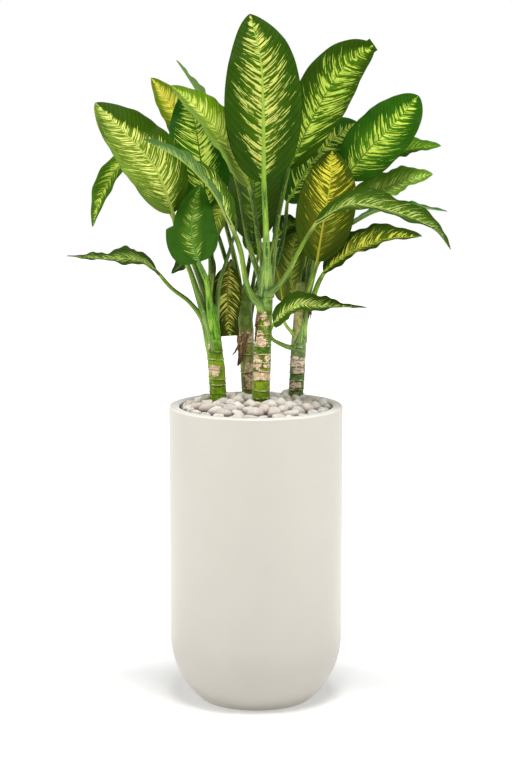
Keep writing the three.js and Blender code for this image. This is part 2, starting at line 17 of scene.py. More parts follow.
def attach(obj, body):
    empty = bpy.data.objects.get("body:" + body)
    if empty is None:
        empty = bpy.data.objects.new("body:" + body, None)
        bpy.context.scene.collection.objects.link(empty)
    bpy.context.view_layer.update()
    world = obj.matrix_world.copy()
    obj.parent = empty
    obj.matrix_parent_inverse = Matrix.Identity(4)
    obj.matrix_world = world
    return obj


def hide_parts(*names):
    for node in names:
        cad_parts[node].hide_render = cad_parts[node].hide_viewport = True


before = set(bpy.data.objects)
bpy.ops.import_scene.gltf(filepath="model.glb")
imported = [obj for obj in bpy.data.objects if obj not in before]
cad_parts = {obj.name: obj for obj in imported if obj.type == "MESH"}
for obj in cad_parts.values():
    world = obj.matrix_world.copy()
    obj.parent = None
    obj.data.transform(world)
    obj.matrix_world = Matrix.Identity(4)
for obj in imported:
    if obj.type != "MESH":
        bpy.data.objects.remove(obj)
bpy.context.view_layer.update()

MM = 0.001

# Camera, worked out from the ellipse of the planter's rim.
CAMERA_PLACE = (0.0, -4.3731, 1.2956)
CAMERA_PITCH = 8.7  # degrees below the horizon
CAMERA_LENS = 106.1

# Studio: a white floor that glows a little, more so away from the planter.
FLOOR_HALF = 9.0
GLOW_NEAR = 0.24
GLOW_FAR = 1.0
GLOW_REACH = (0.15, 1.2)
GLOW_BEHIND = 2.2  # behind the planter the glow is back this many times sooner
SKY_FADE = (0.12, 0.3)  # rise of the line of sight over which the white thins out
SKY_ABOVE = 0.2

# Lights: the place, the point that it faces, width and height, and power in watts.
LIGHTS = {
    "left_box": ((-3.0, -0.5, 2.1), (0, 0, 0.8), (1.3, 1.8), 33),
    "right_box": ((3.0, -0.4, 2.0), (0, 0, 0.8), (1.3, 1.8), 21),
    "top_box": ((0.25, -1.2, 3.6), (0, 0, 0.7), (1.2, 1.2), 79),
}

# Planter.
POT_HEIGHT = 585
POT_RADIUS = 170
POT_FOOT_RADIUS = 110
POT_LIP_WIDTH = 20
POT_LIP_DEPTH = 28
POT_LIP_SLOPE = 8
POT_WALL = 13
POT_FLOOR = 16
POT_EDGE = 4
POT_EDGE_STEPS = 8
POT_SEGMENTS = 160
POT_SHARP = 32  # degrees between two faces from which their edge is sharp
POT_PAINTED_SHADE = (-0.04, 0.14)  # heights in metres between which the painted shade near the floor thins out
BOWL_STEPS = 28

# Pebbles: the same grid and the same chances as in the part.
PEBBLE_BED_TOP = 576
PEBBLE_BED_MARGIN = 3
PEBBLE_BED_RADIUS = POT_RADIUS - POT_LIP_WIDTH - PEBBLE_BED_MARGIN
PEBBLE_SPACING = 32
PEBBLE_JITTER = 4
PEBBLE_LENGTH = (16, 21)
PEBBLE_WIDTH = (12, 16)
PEBBLE_THICKNESS = (11, 14)
PEBBLE_RISE = (0, 4)
PEBBLE_TILT = 0.25
PEBBLE_CROWN = 14
PEBBLE_EDGE = 13
PEBBLE_SEED = 11
PEBBLE_STRETCH = (0.88, 0.92, 1.26)  # a stone's finer form, as shares of the part's
PEBBLE_LEAN = 2.2  # times the tilt of the part's stone
PEBBLE_ROOM = 11  # from a stone's centre to a cane's side
LOWER_DROP = 12  # depth of the lower stones, which fill the gaps, below the upper ones
LOWER_SIDE = 9  # from the middle of a pair of them to either one
LOWER_SHARE = 0.9
LOWER_TILT = 0.4
RIM_STONES = 30  # smaller stones along the planter's wall
RIM_STONE_SIZES = ((12, 16), (9, 12), (10, 13))
RIM_STONE_TILT = 0.3

# A stone's shape: a ball made a little boxy, with lumps and worn flats.
STONE_POWER = 0.84
STONE_LUMP = 0.16
STONE_LUMPS = 1.3  # lumps across half of the stone
STONE_FLATS = 9
STONE_FLAT_OUT = (0.58, 0.82)  # how far out the flats lie, as shares of the radius
STONE_FLAT_WORN = 0.8

# Canes.
CANE_ROOT = 470
CANE_ROOT_SHARE = 0.9
CANE_CROWN_RISE = 0.5  # height of its rounded top, as a share of its radius there
CANE_CROWN_SHARE = 0.6
CANE_SIDES = 56
CANE_STEP = 1.6  # between two rings of points
NODE_RING = 1.3
NODE_RING_HALF = 1.1
NODE_GROOVE = 0.7
NODE_GROOVE_HALF = 1.4
NODE_GROOVE_DROP = 2.6  # below the ring
NODE_SWAY = (0.6, 1.8)  # how far a ring rises and falls round its cane
NODE_RIPPLE = 0.5
CANE_LUMP = 0.035  # of the radius
CANE_LUMP_HEIGHT = 26
CORK_RISE = 0.35  # how far a corky patch stands out

# Each cane: its middle line and its radius there, the heights of its scars, the height at which
# its sheaths begin, pairs of colours as seen on a screen, and its corky patches: the lowest and
# highest point, the way that it faces in degrees, and half its spread.
CANES = {
    "front": SimpleNamespace(
        line=[[9, -15, 587], [11, -15, 656], [14, -15, 725], [18, -15, 793], [21, -15, 859]],
        radii=[17.5, 17, 16.5, 14.5, 10],
        scars=[603, 618, 638, 656, 674, 690, 705, 727, 746, 764],
        sheathed=772,
        greens=((58, 100, 10), (136, 160, 26)),
        upper=((92, 134, 48), (146, 176, 96)),
        cork=((190, 158, 116), (232, 212, 178)),
        patches=[(638, 655, -90, 100), (658, 688, -132, 40), (662, 674, -52, 30),
                 (704, 722, -112, 52), (718, 738, -120, 34), (676, 690, -50, 26),
                 (742, 756, -70, 26), (756, 774, -100, 30)],
    ),
    "left": SimpleNamespace(
        line=[[-74, 20, 590], [-77, 20, 651], [-83, 20, 710], [-87, 20, 775]],
        radii=[16.5, 16.5, 15.5, 11.5],
        scars=[608, 624, 636, 655, 673, 689],
        sheathed=694,
        greens=((60, 110, 6), (130, 162, 22)),
        upper=((84, 140, 26), (138, 176, 66)),
        cork=((198, 166, 122), (236, 214, 180)),
        patches=[(640, 663, -108, 44), (694, 716, -150, 40)],
    ),
    "back": SimpleNamespace(
        line=[[-15, 75, 587], [-17, 75, 653], [-20, 75, 723], [-25, 75, 805]],
        radii=[12.5, 14, 15.5, 13],
        scars=[608, 640, 676, 702],
        sheathed=722,
        greens=((88, 104, 32), (146, 152, 78)),
        upper=((76, 98, 28), (110, 128, 54)),
        cork=((176, 150, 112), (206, 190, 152)),
        patches=[(606, 640, -70, 60), (640, 660, -60, 50), (700, 722, -100, 70)],
    ),
    "right": SimpleNamespace(
        line=[[79, 70, 590], [82, 70, 644], [85, 70, 704], [89, 70, 770], [91, 70, 815]],
        radii=[14.5, 15, 15, 13.5, 11],
        scars=[606, 624, 640, 654, 668, 690],
        sheathed=700,
        greens=((66, 104, 34), (128, 148, 92)),
        upper=((116, 130, 60), (186, 172, 122)),
        cork=((206, 176, 146), (228, 216, 196)),
        patches=[(653, 672, -100, 120), (638, 652, -70, 60), (608, 622, -110, 60)],
    ),
}

# Dry sheaths, in tatters, by cane: highest and lowest point, the way they face in degrees, half
# their spread, how far the lower ends hang away from the cane, how many there are, and how far
# the sheaths of leaves hold them off the cane.
DRY_SHEATHS = {
    "back": SimpleNamespace(high=722, low=636, faces=-124, spread=42, hang=17, count=3, out=0),
    "right": SimpleNamespace(high=804, low=744, faces=-48, spread=30, hang=3, count=4, out=7),
    "front": SimpleNamespace(high=774, low=712, faces=-128, spread=15, hang=2, count=4, out=1),
}
TATTER_ROWS = 40
TATTER_COLUMNS = 6
TATTER_THICKNESS = 0.6
TATTER_FREE = 0.45  # share of its length, from above, where a tatter begins to hang free
TATTER_END = 0.012  # half the angle that its point spans

# Leaves.
BLADE_STATIONS = 76
BLADE_HALF_COLUMNS = [0, 0.03, 0.065, 0.11, 0.17, 0.24, 0.32, 0.41, 0.51, 0.61, 0.71, 0.8, 0.88,
                      0.95, 1]
BLADE_THICKNESS = 1.0
BLADE_BASE_HALF = 3
NICK_SHARE = 0.27  # share of the left half's width that is torn off
NICK_LENGTH = 0.03  # share of the blade's length in which the tear reaches that width
WAVE_SHIFT = 1.9  # in radians, of the left half's waves
QUILTING = 0.55  # how far the blade swells between two side veins
VEIN_SLOPE = 0.5  # how far a side vein climbs for each millimetre that it goes outwards
VEIN_BEND = 0.45  # how much more it climbs near the margin
RUFFLE = 1.6  # small irregular waves of the margin
RUFFLES = 2.7  # to each wave
LARGE_BLADE = 100  # width from which a blade has the stoutest petiole
SLIMMEST_PETIOLE = 0.55
PETIOLE_BASE_RADIUS = 10
PETIOLE_END_RADIUS = 4
PETIOLE_TAPER = 1.3
PETIOLE_WAIST = 0.22  # how much slimmer a petiole is half way up
SHEATH_LENGTH = 45
SHEATH_TOP_OUT = 0.7
SHEATH_FOOT_OUT = 0.28
SHEATH_SPREAD = 0.35  # how much wider than round the sheath's foot is
STALK_SIDES = 18
PETIOLE_STEPS = 56
RIB_STEPS = 40
RIB_END = 0.96  # share of the blade's length that the midrib reaches
RIB_END_RADIUS = 0.5
RIB_TAPER = 1.15
RIB_SLIMMEST = 0.62  # share of its thickness that a midrib keeps where it hardly shows above
RIB_RISE = 0.75  # share of its radius by which a midrib that shows in full is raised
RIB_JOIN = 0.8  # share of the petiole from which it turns into the midrib
RIB_COLOUR = 0.9  # and from which it takes the midrib's colour
LEAF_GLOSS = 0.04
STALK_GLOSS = 0.14

# Colours as seen on a screen, 0 to 255.
# DEEP and BOTTLE are painted shade, used only by leaves at the back and inside.
DEEP = (34, 64, 8)
BOTTLE = (54, 90, 12)
GREEN = (66, 108, 14)
FRESH = (90, 132, 22)
LIME = (142, 172, 58)
PALE_LIME = (160, 178, 84)
BRIGHT = (188, 208, 66)
YELLOW = (209, 203, 62)
GOLD = (224, 216, 94)
OLIVE = (104, 108, 24)
DULL = (76, 84, 34)
GREY_GREEN = (104, 134, 72)
STALK_GREEN = (98, 130, 28)
STALK_BLUISH = (110, 140, 74)
STALK_PALE = (168, 192, 78)
# Painted shade: the next green darkens the petioles of the leaves at the back and inside.
STALK_SHADED = (50, 84, 20)
STALK_SHADE = (44, 74, 22)

UNDER_SHARE = 0.65  # how much of the underside is its own colour

# What a leaf has where its own entry says nothing else.
PLAIN_LEAF = {
    "fold": 12,  # degrees that each half of the blade rises
    "waves": [4, 3],  # height and number of the margin's waves
    "stout": 1,  # thickness of the petiole, as a share of what suits the blade
    "round": (0.5, 0.72),  # how pointed the outline is at its base and at its tip
    "blunt": 1.2,  # half the width of its tip
    "nick": None,  # share of its length above which the left margin is torn off
    "ground": GREEN,  # colour far from the midrib
    "left": None,  # that of the left half, where it differs
    "near": FRESH,  # colour near the midrib
    "streak": BRIGHT,  # colour of the feathering
    "outer": LIME,  # that of the feathering farther out
    "foot": None,  # that of the feathering near the base, where it differs
    "reach": (0.62, 0.62),  # how far out the feathering goes on the left and the right half
    "tip": (0, 0),  # how much less far it goes at the tip
    "cover": 0.05,  # how closely it covers
    "more": 0.0,  # how much more closely at the tip
    "streaks": 19,  # number of side veins
    "under": GREY_GREEN,  # colour of the underside
    "rib": LIME,  # colour of the midrib
    "rib_show": 0.55,  # how much of the midrib shows above
    "stalk": STALK_GREEN,  # colour of the petiole
    "low": STALK_BLUISH,  # that of its foot
}


def leaf_of(cane, height, petiole, midrib, width, faces, **form):
    """A leaf whose petiole leaves a cane at a height.

    The petiole and the midrib are points that they pass, the width is the blade's, and the two
    faces are the ways that its base and its tip turn. The form is what differs from the plain
    leaf.
    """
    return SimpleNamespace(cane=CANES[cane], height=height, petiole=petiole, midrib=midrib,
                           width=width, faces=faces, **{**PLAIN_LEAF, **form})


YELLOW_LEAVES = ("back_left_upper", "right_yellow")

# Each leaf's way and form are those of the part.
LEAVES = {
    "top_centre": leaf_of(
        "front", 800, [[19, -30, 930]],
        [[15, -38, 1022], [14, -42, 1140], [9, -28, 1253], [-12, 0, 1340]],
        149, [[0, -1, 0.1], [0, -1, 0.5]], fold=8, waves=[3, 3], stout=1.3,
        ground=(44, 74, 8), near=(66, 102, 10), streak=(194, 196, 98), outer=(140, 168, 66),
        reach=(0.74, 0.8), cover=0.035, streaks=21, rib=(140, 176, 60), rib_show=0.95,
        stalk=(110, 148, 46)),
    "upper_right": leaf_of(
        "front", 785, [[39, 2, 928], [52, 15, 994]],
        [[64, 28, 1046], [118, 42, 1156], [170, 50, 1238], [228, 42, 1282]],
        112, [[-0.2, -1, 0.3], [-0.1, -1, 0.5]], fold=14, waves=[3, 2], round=[0.52, 0.62], blunt=15,
        ground=(44, 72, 6), near=(72, 108, 14), streak=(178, 200, 76), outer=(120, 150, 44),
        reach=(0.7, 1.05), cover=0.03, rib=(84, 118, 34), rib_show=0.35),
    "front_arch": leaf_of(
        "front", 760, [[50, -50, 832], [84, -85, 900]],
        [[113, -100, 951], [180, -122, 986], [262, -136, 972], [334, -132, 940], [366, -126, 902]],
        106, [[-0.3, -0.35, 1], [0.4, -0.22, 1]], fold=13,
        ground=(52, 80, 14), near=(82, 114, 28), streak=(192, 206, 116), reach=(0.9, 0.9), cover=-0.02,
        streaks=26, rib=PALE_LIME, under=(70, 100, 44)),
    "upper_left": leaf_of(
        "front", 815, [[4, -2, 915], [-6, -2, 980]],
        [[-13, -4, 1012], [-53, -10, 1090], [-101, -16, 1150], [-162, -10, 1205]],
        100, [[0.5, -0.7, 0.5], [0.57, -0.64, 0.5]], fold=20, waves=[3, 3],
        ground=(92, 128, 14), near=(138, 168, 34), streak=(206, 218, 108), reach=(0.6, 0.9), cover=0.02,
        left=(116, 144, 56), rib=PALE_LIME, rib_show=0.8),
    "crossing_left": leaf_of(
        "front", 735, [[-14, -45, 816], [-31, -65, 899]],
        [[-47, -78, 945], [-83, -98, 1012], [-139, -112, 1068], [-211, -118, 1107]],
        94, [[0.67, -0.5, 0.6], [0.1, 0.35, 1]], fold=22, waves=[3, 3], stout=1.2,
        ground=(56, 86, 12), near=(88, 120, 26), streak=(218, 234, 126), cover=0.04, reach=(0.9, 0.9),
        under=(82, 122, 66), rib=PALE_LIME, rib_show=0.8),
    "top_left": leaf_of(
        "front", 778, [[-14, 4, 900], [-30, 22, 984]],
        [[-42, 32, 1040], [-74, 44, 1128], [-115, 60, 1193], [-155, 74, 1252]],
        80, [[1, 0.1, 0.5], [1, 0.1, 0.7]], fold=16, waves=[3, 3],
        ground=(84, 122, 54), streak=LIME, cover=-0.02),
    "lower_left": leaf_of(
        "left", 655, [[-104, 12, 750], [-129, 0, 787], [-164, -30, 819]],
        [[-190, -55, 855], [-228, -82, 878], [-294, -98, 881], [-358, -100, 887]],
        90, [[0.4, -0.4, 1], [-0.1, 0, 1]], fold=8, round=[0.34, 0.76],
        ground=(52, 76, 24), near=(78, 108, 34), streak=(172, 190, 96), cover=0.02, reach=(0.8, 0.8),
        under=(100, 130, 60)),
    "left_front": leaf_of(
        "left", 715, [[-95, -25, 830]],
        [[-110, -46, 870], [-123, -62, 922], [-119, -60, 975], [-106, -38, 1018]],
        100, [[0.1, -1, 0.2], [0, -0.8, 0.7]], fold=8, waves=[5, 2], stout=1.3, round=[0.38, 0.8],
        nick=0.42,
        ground=(52, 96, 20), near=(84, 126, 28), streak=(206, 226, 112), reach=(0.62, 0.52), cover=-0.06,
        streaks=24, rib=(92, 140, 54), rib_show=0.45, low=(96, 152, 30), stalk=(104, 152, 36)),
    "big_left": leaf_of(
        "left", 690, [[-122, 0, 831], [-145, -12, 896]],
        [[-160, -20, 962], [-190, -32, 1044], [-243, -28, 1108], [-308, -5, 1172]],
        122, [[0.1, -1, 0.3], [0.3, -0.9, 0.6]], stout=1.15, round=[0.58, 0.7],
        ground=(50, 80, 4), near=(108, 136, 34), streak=(220, 224, 118), reach=(1.1, 0.95), tip=(0, 0.65),
        cover=0.01, left=(112, 140, 50), rib=(168, 186, 76), rib_show=0.75, streaks=24),
    "left_drooping": leaf_of(
        "left", 740, [[-116, 42, 845], [-158, 58, 940]],
        [[-215, 62, 1044], [-256, 48, 1055], [-295, 30, 1003], [-317, 14, 933]],
        58, [[0, -0.6, 1], [-0.8, -0.7, 0.3]], fold=16, waves=[3, 2], stout=1.25,
        streak=(202, 218, 88), reach=(0.72, 0.72), cover=0.02),
    "left_inner": leaf_of(
        "left", 735, [[-87, 24, 840], [-90, 42, 900]],
        [[-95, 58, 960], [-108, 80, 1055], [-122, 100, 1135], [-142, 120, 1188]],
        118, [[0.1, -1, 0.1], [0, -1, 0.4]], fold=10, waves=[4, 2], stout=1.25,
        ground=(40, 86, 14), near=(82, 138, 22), streak=(236, 252, 112), outer=(166, 206, 66),
        reach=(0.78, 0.66), rib=(70, 110, 30), rib_show=0.35, streaks=22),
    "inner_hanging": leaf_of(
        "back", 695, [[-42, 73, 785], [-46, 76, 838], [-49, 67, 862]],
        [[-53, 54, 852], [-56, 42, 795], [-52, 42, 716]],
        58, [[-0.3, -1, 0.3], [0.1, -1, 0]], fold=10, waves=[3, 2], blunt=19,
        ground=(52, 62, 8), near=(78, 86, 16), streak=(202, 200, 94), reach=(1.1, 1.1), cover=0.0,
        streaks=14, rib=(120, 110, 40), stalk=STALK_SHADED),
    "back_left_upper": leaf_of(
        "back", 725, [[-36, 92, 830], [-60, 104, 930], [-88, 130, 1010]],
        [[-122, 152, 1070], [-159, 152, 1146], [-207, 144, 1217]],
        72, [[0.4, -1, 0.3], [0.4, -1, 0.5]], waves=[3, 2],
        ground=(100, 124, 20), near=(180, 182, 38), streak=GOLD, reach=(0.9, 0.9), cover=0.03, streaks=12,
        rib=(226, 196, 92), rib_show=0.8),
    "centre_hanging": leaf_of(
        "left", 722, [[-72, 20, 818], [-50, 18, 890], [-38, 12, 940]],
        [[-45, 4, 970], [-68, -4, 958], [-84, -9, 900]],
        51, [[-0.3, -0.7, 0.6], [-0.6, -0.8, 0.3]], fold=14, waves=[2, 2],
        ground=(84, 108, 20), near=(112, 134, 34), streak=(190, 198, 84), reach=(0.9, 0.9), cover=0.03,
        streaks=16, stalk=STALK_SHADED),
    "left_low_back": leaf_of(
        "left", 700, [[-88, 50, 800], [-82, 78, 850]],
        [[-91, 92, 878], [-129, 106, 864], [-168, 108, 832]],
        58, [[-0.1, -0.5, 1], [-0.4, -0.5, 0.8]], fold=10, waves=[3, 2],
        ground=(48, 66, 32), near=(60, 80, 34), streak=OLIVE, cover=-0.02, stalk=STALK_SHADED),
    # Its dark greens are painted shade.
    "inner_back": leaf_of(
        "back", 690, [[8, 102, 830], [28, 122, 872]],
        [[42, 130, 900], [62, 142, 922], [84, 156, 926], [102, 168, 905]],
        58, [[-0.2, -0.7, 1], [0.2, -0.5, 1]], fold=10, waves=[3, 2],
        ground=DEEP, near=BOTTLE, streak=LIME, cover=-0.03, stalk=STALK_SHADED),
    "right_large": leaf_of(
        "right", 765, [[110, 75, 866], [142, 80, 941]],
        [[175, 78, 1025], [219, 66, 1078], [273, 58, 1134], [316, 62, 1184]],
        111, [[0.3, -1, 0.4], [0.3, -0.8, 0.8]], round=[0.52, 0.6],
        ground=(42, 88, 10), near=(74, 124, 20), streak=(194, 216, 80), reach=(0.78, 0.84),
        tip=(0.45, 0.2), cover=0.03, rib=(96, 130, 40), rib_show=0.4, streaks=22),
    "right_behind": leaf_of(
        "back", 735, [[40, 96, 856], [56, 112, 918]],
        [[62, 120, 973], [111, 130, 1049], [158, 132, 1102], [201, 127, 1130]],
        105, [[0, -1, 0.4], [0.1, -0.8, 0.8]], fold=8, waves=[4, 2],
        ground=(48, 90, 24), near=(56, 98, 26), streak=(206, 230, 98), cover=0.02, reach=(0.6, 0.8),
        stalk=STALK_SHADED),
    "right_far": leaf_of(
        "right", 745, [[119, 104, 872], [154, 124, 967]],
        [[190, 130, 1041], [255, 125, 1068], [308, 115, 1079], [364, 102, 1085]],
        72, [[-0.4, -0.6, 1], [0, -0.5, 1]], waves=[3, 3],
        ground=(76, 118, 24), near=(90, 134, 30), streak=LIME, reach=(0.8, 0.8), cover=-0.03),
    "right_dark": leaf_of(
        "right", 725, [[120, 88, 852], [154, 98, 935]],
        [[182, 100, 976], [240, 92, 998], [293, 80, 1018], [346, 66, 1031]],
        88, [[-0.3, -0.7, 1], [-0.2, -0.6, 1]], fold=10,
        ground=(104, 144, 40), near=(124, 164, 52), streak=(200, 226, 116), reach=(0.8, 0.9), cover=0.02,
        streaks=22),
    "right_yellow": leaf_of(
        "right", 735, [[106, 38, 820]],
        [[119, 30, 864], [132, 18, 948], [144, 24, 1020], [148, 42, 1080]],
        116, [[0.1, -1, 0.1], [0, -1, 0.5]], fold=10, waves=[4, 2],
        ground=(58, 74, 6), near=(92, 98, 14), streak=YELLOW, foot=(134, 150, 50), outer=(186, 176, 44),
        reach=(0.9, 1.0), cover=-0.14, more=0.27, streaks=17, left=(58, 76, 8), rib=(170, 168, 50),
        rib_show=0.6),
    "right_thin": leaf_of(
        "right", 755, [[119, 59, 852], [152, 54, 905]],
        [[180, 50, 932], [236, 40, 961], [302, 25, 969], [370, 8, 963]],
        62, [[-0.4, 0, 1], [0.1, 0, 1]], fold=16, waves=[3, 3],
        ground=(66, 112, 42), near=(76, 124, 44), streak=LIME, cover=-0.03),
    "right_lower": leaf_of(
        "right", 700, [[112, 48, 790], [122, 40, 820]],
        [[132, 29, 843], [184, 10, 884], [246, -2, 909], [320, -15, 917]],
        98, [[-0.4, -0.6, 1], [0.1, -0.35, 1]], fold=18, stout=1.25,
        ground=(50, 72, 10), near=(80, 100, 18), streak=(206, 202, 76), reach=(0.8, 0.9), cover=0.01,
        streaks=16),
    "right_back_low": leaf_of(
        "right", 690, [[96, 96, 735], [86, 110, 752]],
        [[80, 120, 770], [70, 136, 828], [76, 168, 882], [92, 212, 915]],
        62, [[0.1, -1, 0.1], [0, -0.7, 0.7]], fold=10, waves=[3, 2],
        ground=(78, 96, 28), near=(100, 116, 36), streak=(176, 180, 84), cover=0.02),
    "front_low_right": leaf_of(
        "right", 640, [[58, 46, 695], [32, 8, 714], [27, -16, 731]],
        [[34, -34, 751], [76, -60, 787], [142, -78, 788], [212, -72, 785]],
        66, [[-0.5, -0.8, 0.7], [0.1, 0, 1]], waves=[3, 3], round=[0.36, 0.72],
        ground=(56, 84, 16), near=(86, 118, 30), streak=(216, 230, 126), cover=0.04, streaks=24),
    "inner_small": leaf_of(
        "right", 664, [[56, 48, 742]], [[52, 44, 784], [46, 48, 822], [37, 54, 856]],
        38, [[0.3, -1, 0.1], [0.3, -1, 0.3]], fold=20, waves=[1, 1],
        ground=DULL, near=OLIVE, streak=OLIVE, cover=-0.03, stalk=STALK_PALE),
    # Its dark greens are painted shade.
    "rear_high": leaf_of(
        "back", 745, [[-20, 118, 815], [-12, 138, 860]],
        [[-6, 152, 892], [-4, 198, 965], [0, 248, 1032], [8, 314, 1068]],
        112, [[0, -1, 0.3], [0, -0.6, 1]],
        ground=(44, 68, 10), near=(56, 84, 14), streak=(112, 142, 44), outer=DEEP, cover=-0.02, rib=DEEP,
        rib_show=0.3, stalk=STALK_SHADED),
    "rear_right": leaf_of(
        "right", 775, [[104, 112, 880], [118, 156, 960]],
        [[128, 190, 1010], [152, 235, 1040], [180, 278, 1040], [206, 316, 1005]],
        88, [[-0.2, -0.4, 1], [0.3, 0.4, 1]],
        cover=0.04),
    # Its dark green is painted shade.
    "rear_left": leaf_of(
        "back", 705, [[-52, 120, 830], [-78, 150, 910]],
        [[-98, 170, 950], [-128, 210, 985], [-160, 250, 990], [-190, 290, 960]],
        96, [[0.2, -0.4, 1], [-0.2, 0.3, 1]],
        ground=BOTTLE),
    "rear_low": leaf_of(
        "back", 675, [[-12, 118, 770], [-2, 160, 830]],
        [[4, 190, 860], [14, 230, 880], [24, 275, 870], [30, 315, 835]],
        88, [[0, -0.5, 1], [0, 0.4, 1]],
        cover=0.01, reach=(0.55, 0.55)),
}


# Lines and surfaces, in millimetres.

def unit(vectors):
    vectors = np.asarray(vectors, float)
    return vectors / np.linalg.norm(vectors, axis=-1, keepdims=True)


def spline(points, shares):
    """The centripetal curve through the points, at shares of it from 0 to 1."""
    points = np.array(points, float)
    through = np.vstack([2 * points[0] - points[1], points, 2 * points[-1] - points[-2]])
    place = np.clip(shares, 0, 1) * (len(points) - 1)
    i = np.minimum(place.astype(int), len(points) - 2)
    t = (place - i)[:, None]
    p0, p1, p2, p3 = (through[i + k] for k in range(4))
    d0, d1, d2 = (np.linalg.norm(b - a, axis=1, keepdims=True) ** 0.5
                  for a, b in ((p0, p1), (p1, p2), (p2, p3)))
    slope_in = ((p1 - p0) / d0 - (p2 - p0) / (d0 + d1) + (p2 - p1) / d1) * d1
    slope_out = ((p2 - p1) / d1 - (p3 - p1) / (d1 + d2) + (p3 - p2) / d2) * d1
    return (p1 + slope_in * t + (-3 * p1 + 3 * p2 - 2 * slope_in - slope_out) * t**2
            + (2 * p1 - 2 * p2 + slope_in + slope_out) * t**3)


def evenly(points, steps):
    """The curve through the points, at steps of equal length."""
    fine = spline(points, np.linspace(0, 1, 400))
    length = np.concatenate([[0], np.cumsum(np.linalg.norm(np.diff(fine, axis=0), axis=1))])
    at = np.linspace(0, length[-1], steps + 1)
    return np.stack([np.interp(at, length, fine[:, k]) for k in range(3)], axis=1)


def sideways(path, first):
    """For each point of a path, two directions across it that turn as little as they can."""
    along = unit(np.gradient(path, axis=0))
    side = np.array(first, float)
    sides = []
    for direction in along:
        side = side - direction * side.dot(direction)
        side = side / np.linalg.norm(side)
        sides.append(side)
    sides = np.array(sides)
    return sides, np.cross(along, sides)


def around(sides):
    """The angles of a ring's points."""
    return np.linspace(0, 2 * math.pi, sides, endpoint=False)


def new_object(name, data):
    made = bpy.data.objects.new(name, data)
    bpy.context.scene.collection.objects.link(made)
    return made


def make_mesh(name, points, faces, slots=None, **attributes):
    """A smooth object from points in millimetres, with named values at each point."""
    mesh = bpy.data.meshes.new(name)
    mesh.from_pydata((np.asarray(points) * MM).tolist(), [], faces)
    for label, values in attributes.items():
        layer = mesh.attributes.new(label, "FLOAT_VECTOR", "POINT")
        layer.data.foreach_set("vector", np.asarray(values, np.float32).ravel())
    if slots is not None:
        mesh.polygons.foreach_set("material_index", slots)
    mesh.polygons.foreach_set("use_smooth", [True] * len(mesh.polygons))
    mesh.update()
    return new_object(name, mesh)


def tube_faces(rings, sides, first=0):
    """The faces of a tube of rings of points, closed at both ends."""
    faces = []
    for i in range(rings - 1):
        for j in range(sides):
            a = first + i * sides + j
            b = first + i * sides + (j + 1) % sides
            faces.append((a, b, b + sides, a + sides))
    faces.append(tuple(first + j for j in reversed(range(sides))))
    faces.append(tuple(first + (rings - 1) * sides + j for j in range(sides)))
    return faces


def dress(piece, node, slot, *materials):
    """The piece stands for a node of the part, and is made of the materials given. The slot is not used.
    """
    for material in materials:
        piece.data.materials.append(material)
    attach(piece, "root")
    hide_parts(node)


# Materials.

def tone(colour):
    """A colour as seen on a screen, 0 to 255, in linear light. Another colour stays as it is."""
    if not isinstance(colour, tuple):
        return colour
    shares = [part / 255 for part in colour]
    return [*[s / 12.92 if s <= 0.04045 else ((s + 0.055) / 1.055) ** 2.4 for s in shares], 1.0]


class Signal:
    """A number that a material works out at each point of a surface."""

    def __init__(self, graph, socket):
        self.graph = graph
        self.socket = socket

    def __add__(self, other):
        return self.graph.math("ADD", self, other)

    def __sub__(self, other):
        return self.graph.math("SUBTRACT", self, other)

    def __mul__(self, other):
        return self.graph.math("MULTIPLY", self, other)

    def __truediv__(self, other):
        return self.graph.math("DIVIDE", self, other)

    def __pow__(self, other):
        return self.graph.math("POWER", self, other)

    def __rsub__(self, other):
        return self.graph.math("SUBTRACT", other, self)


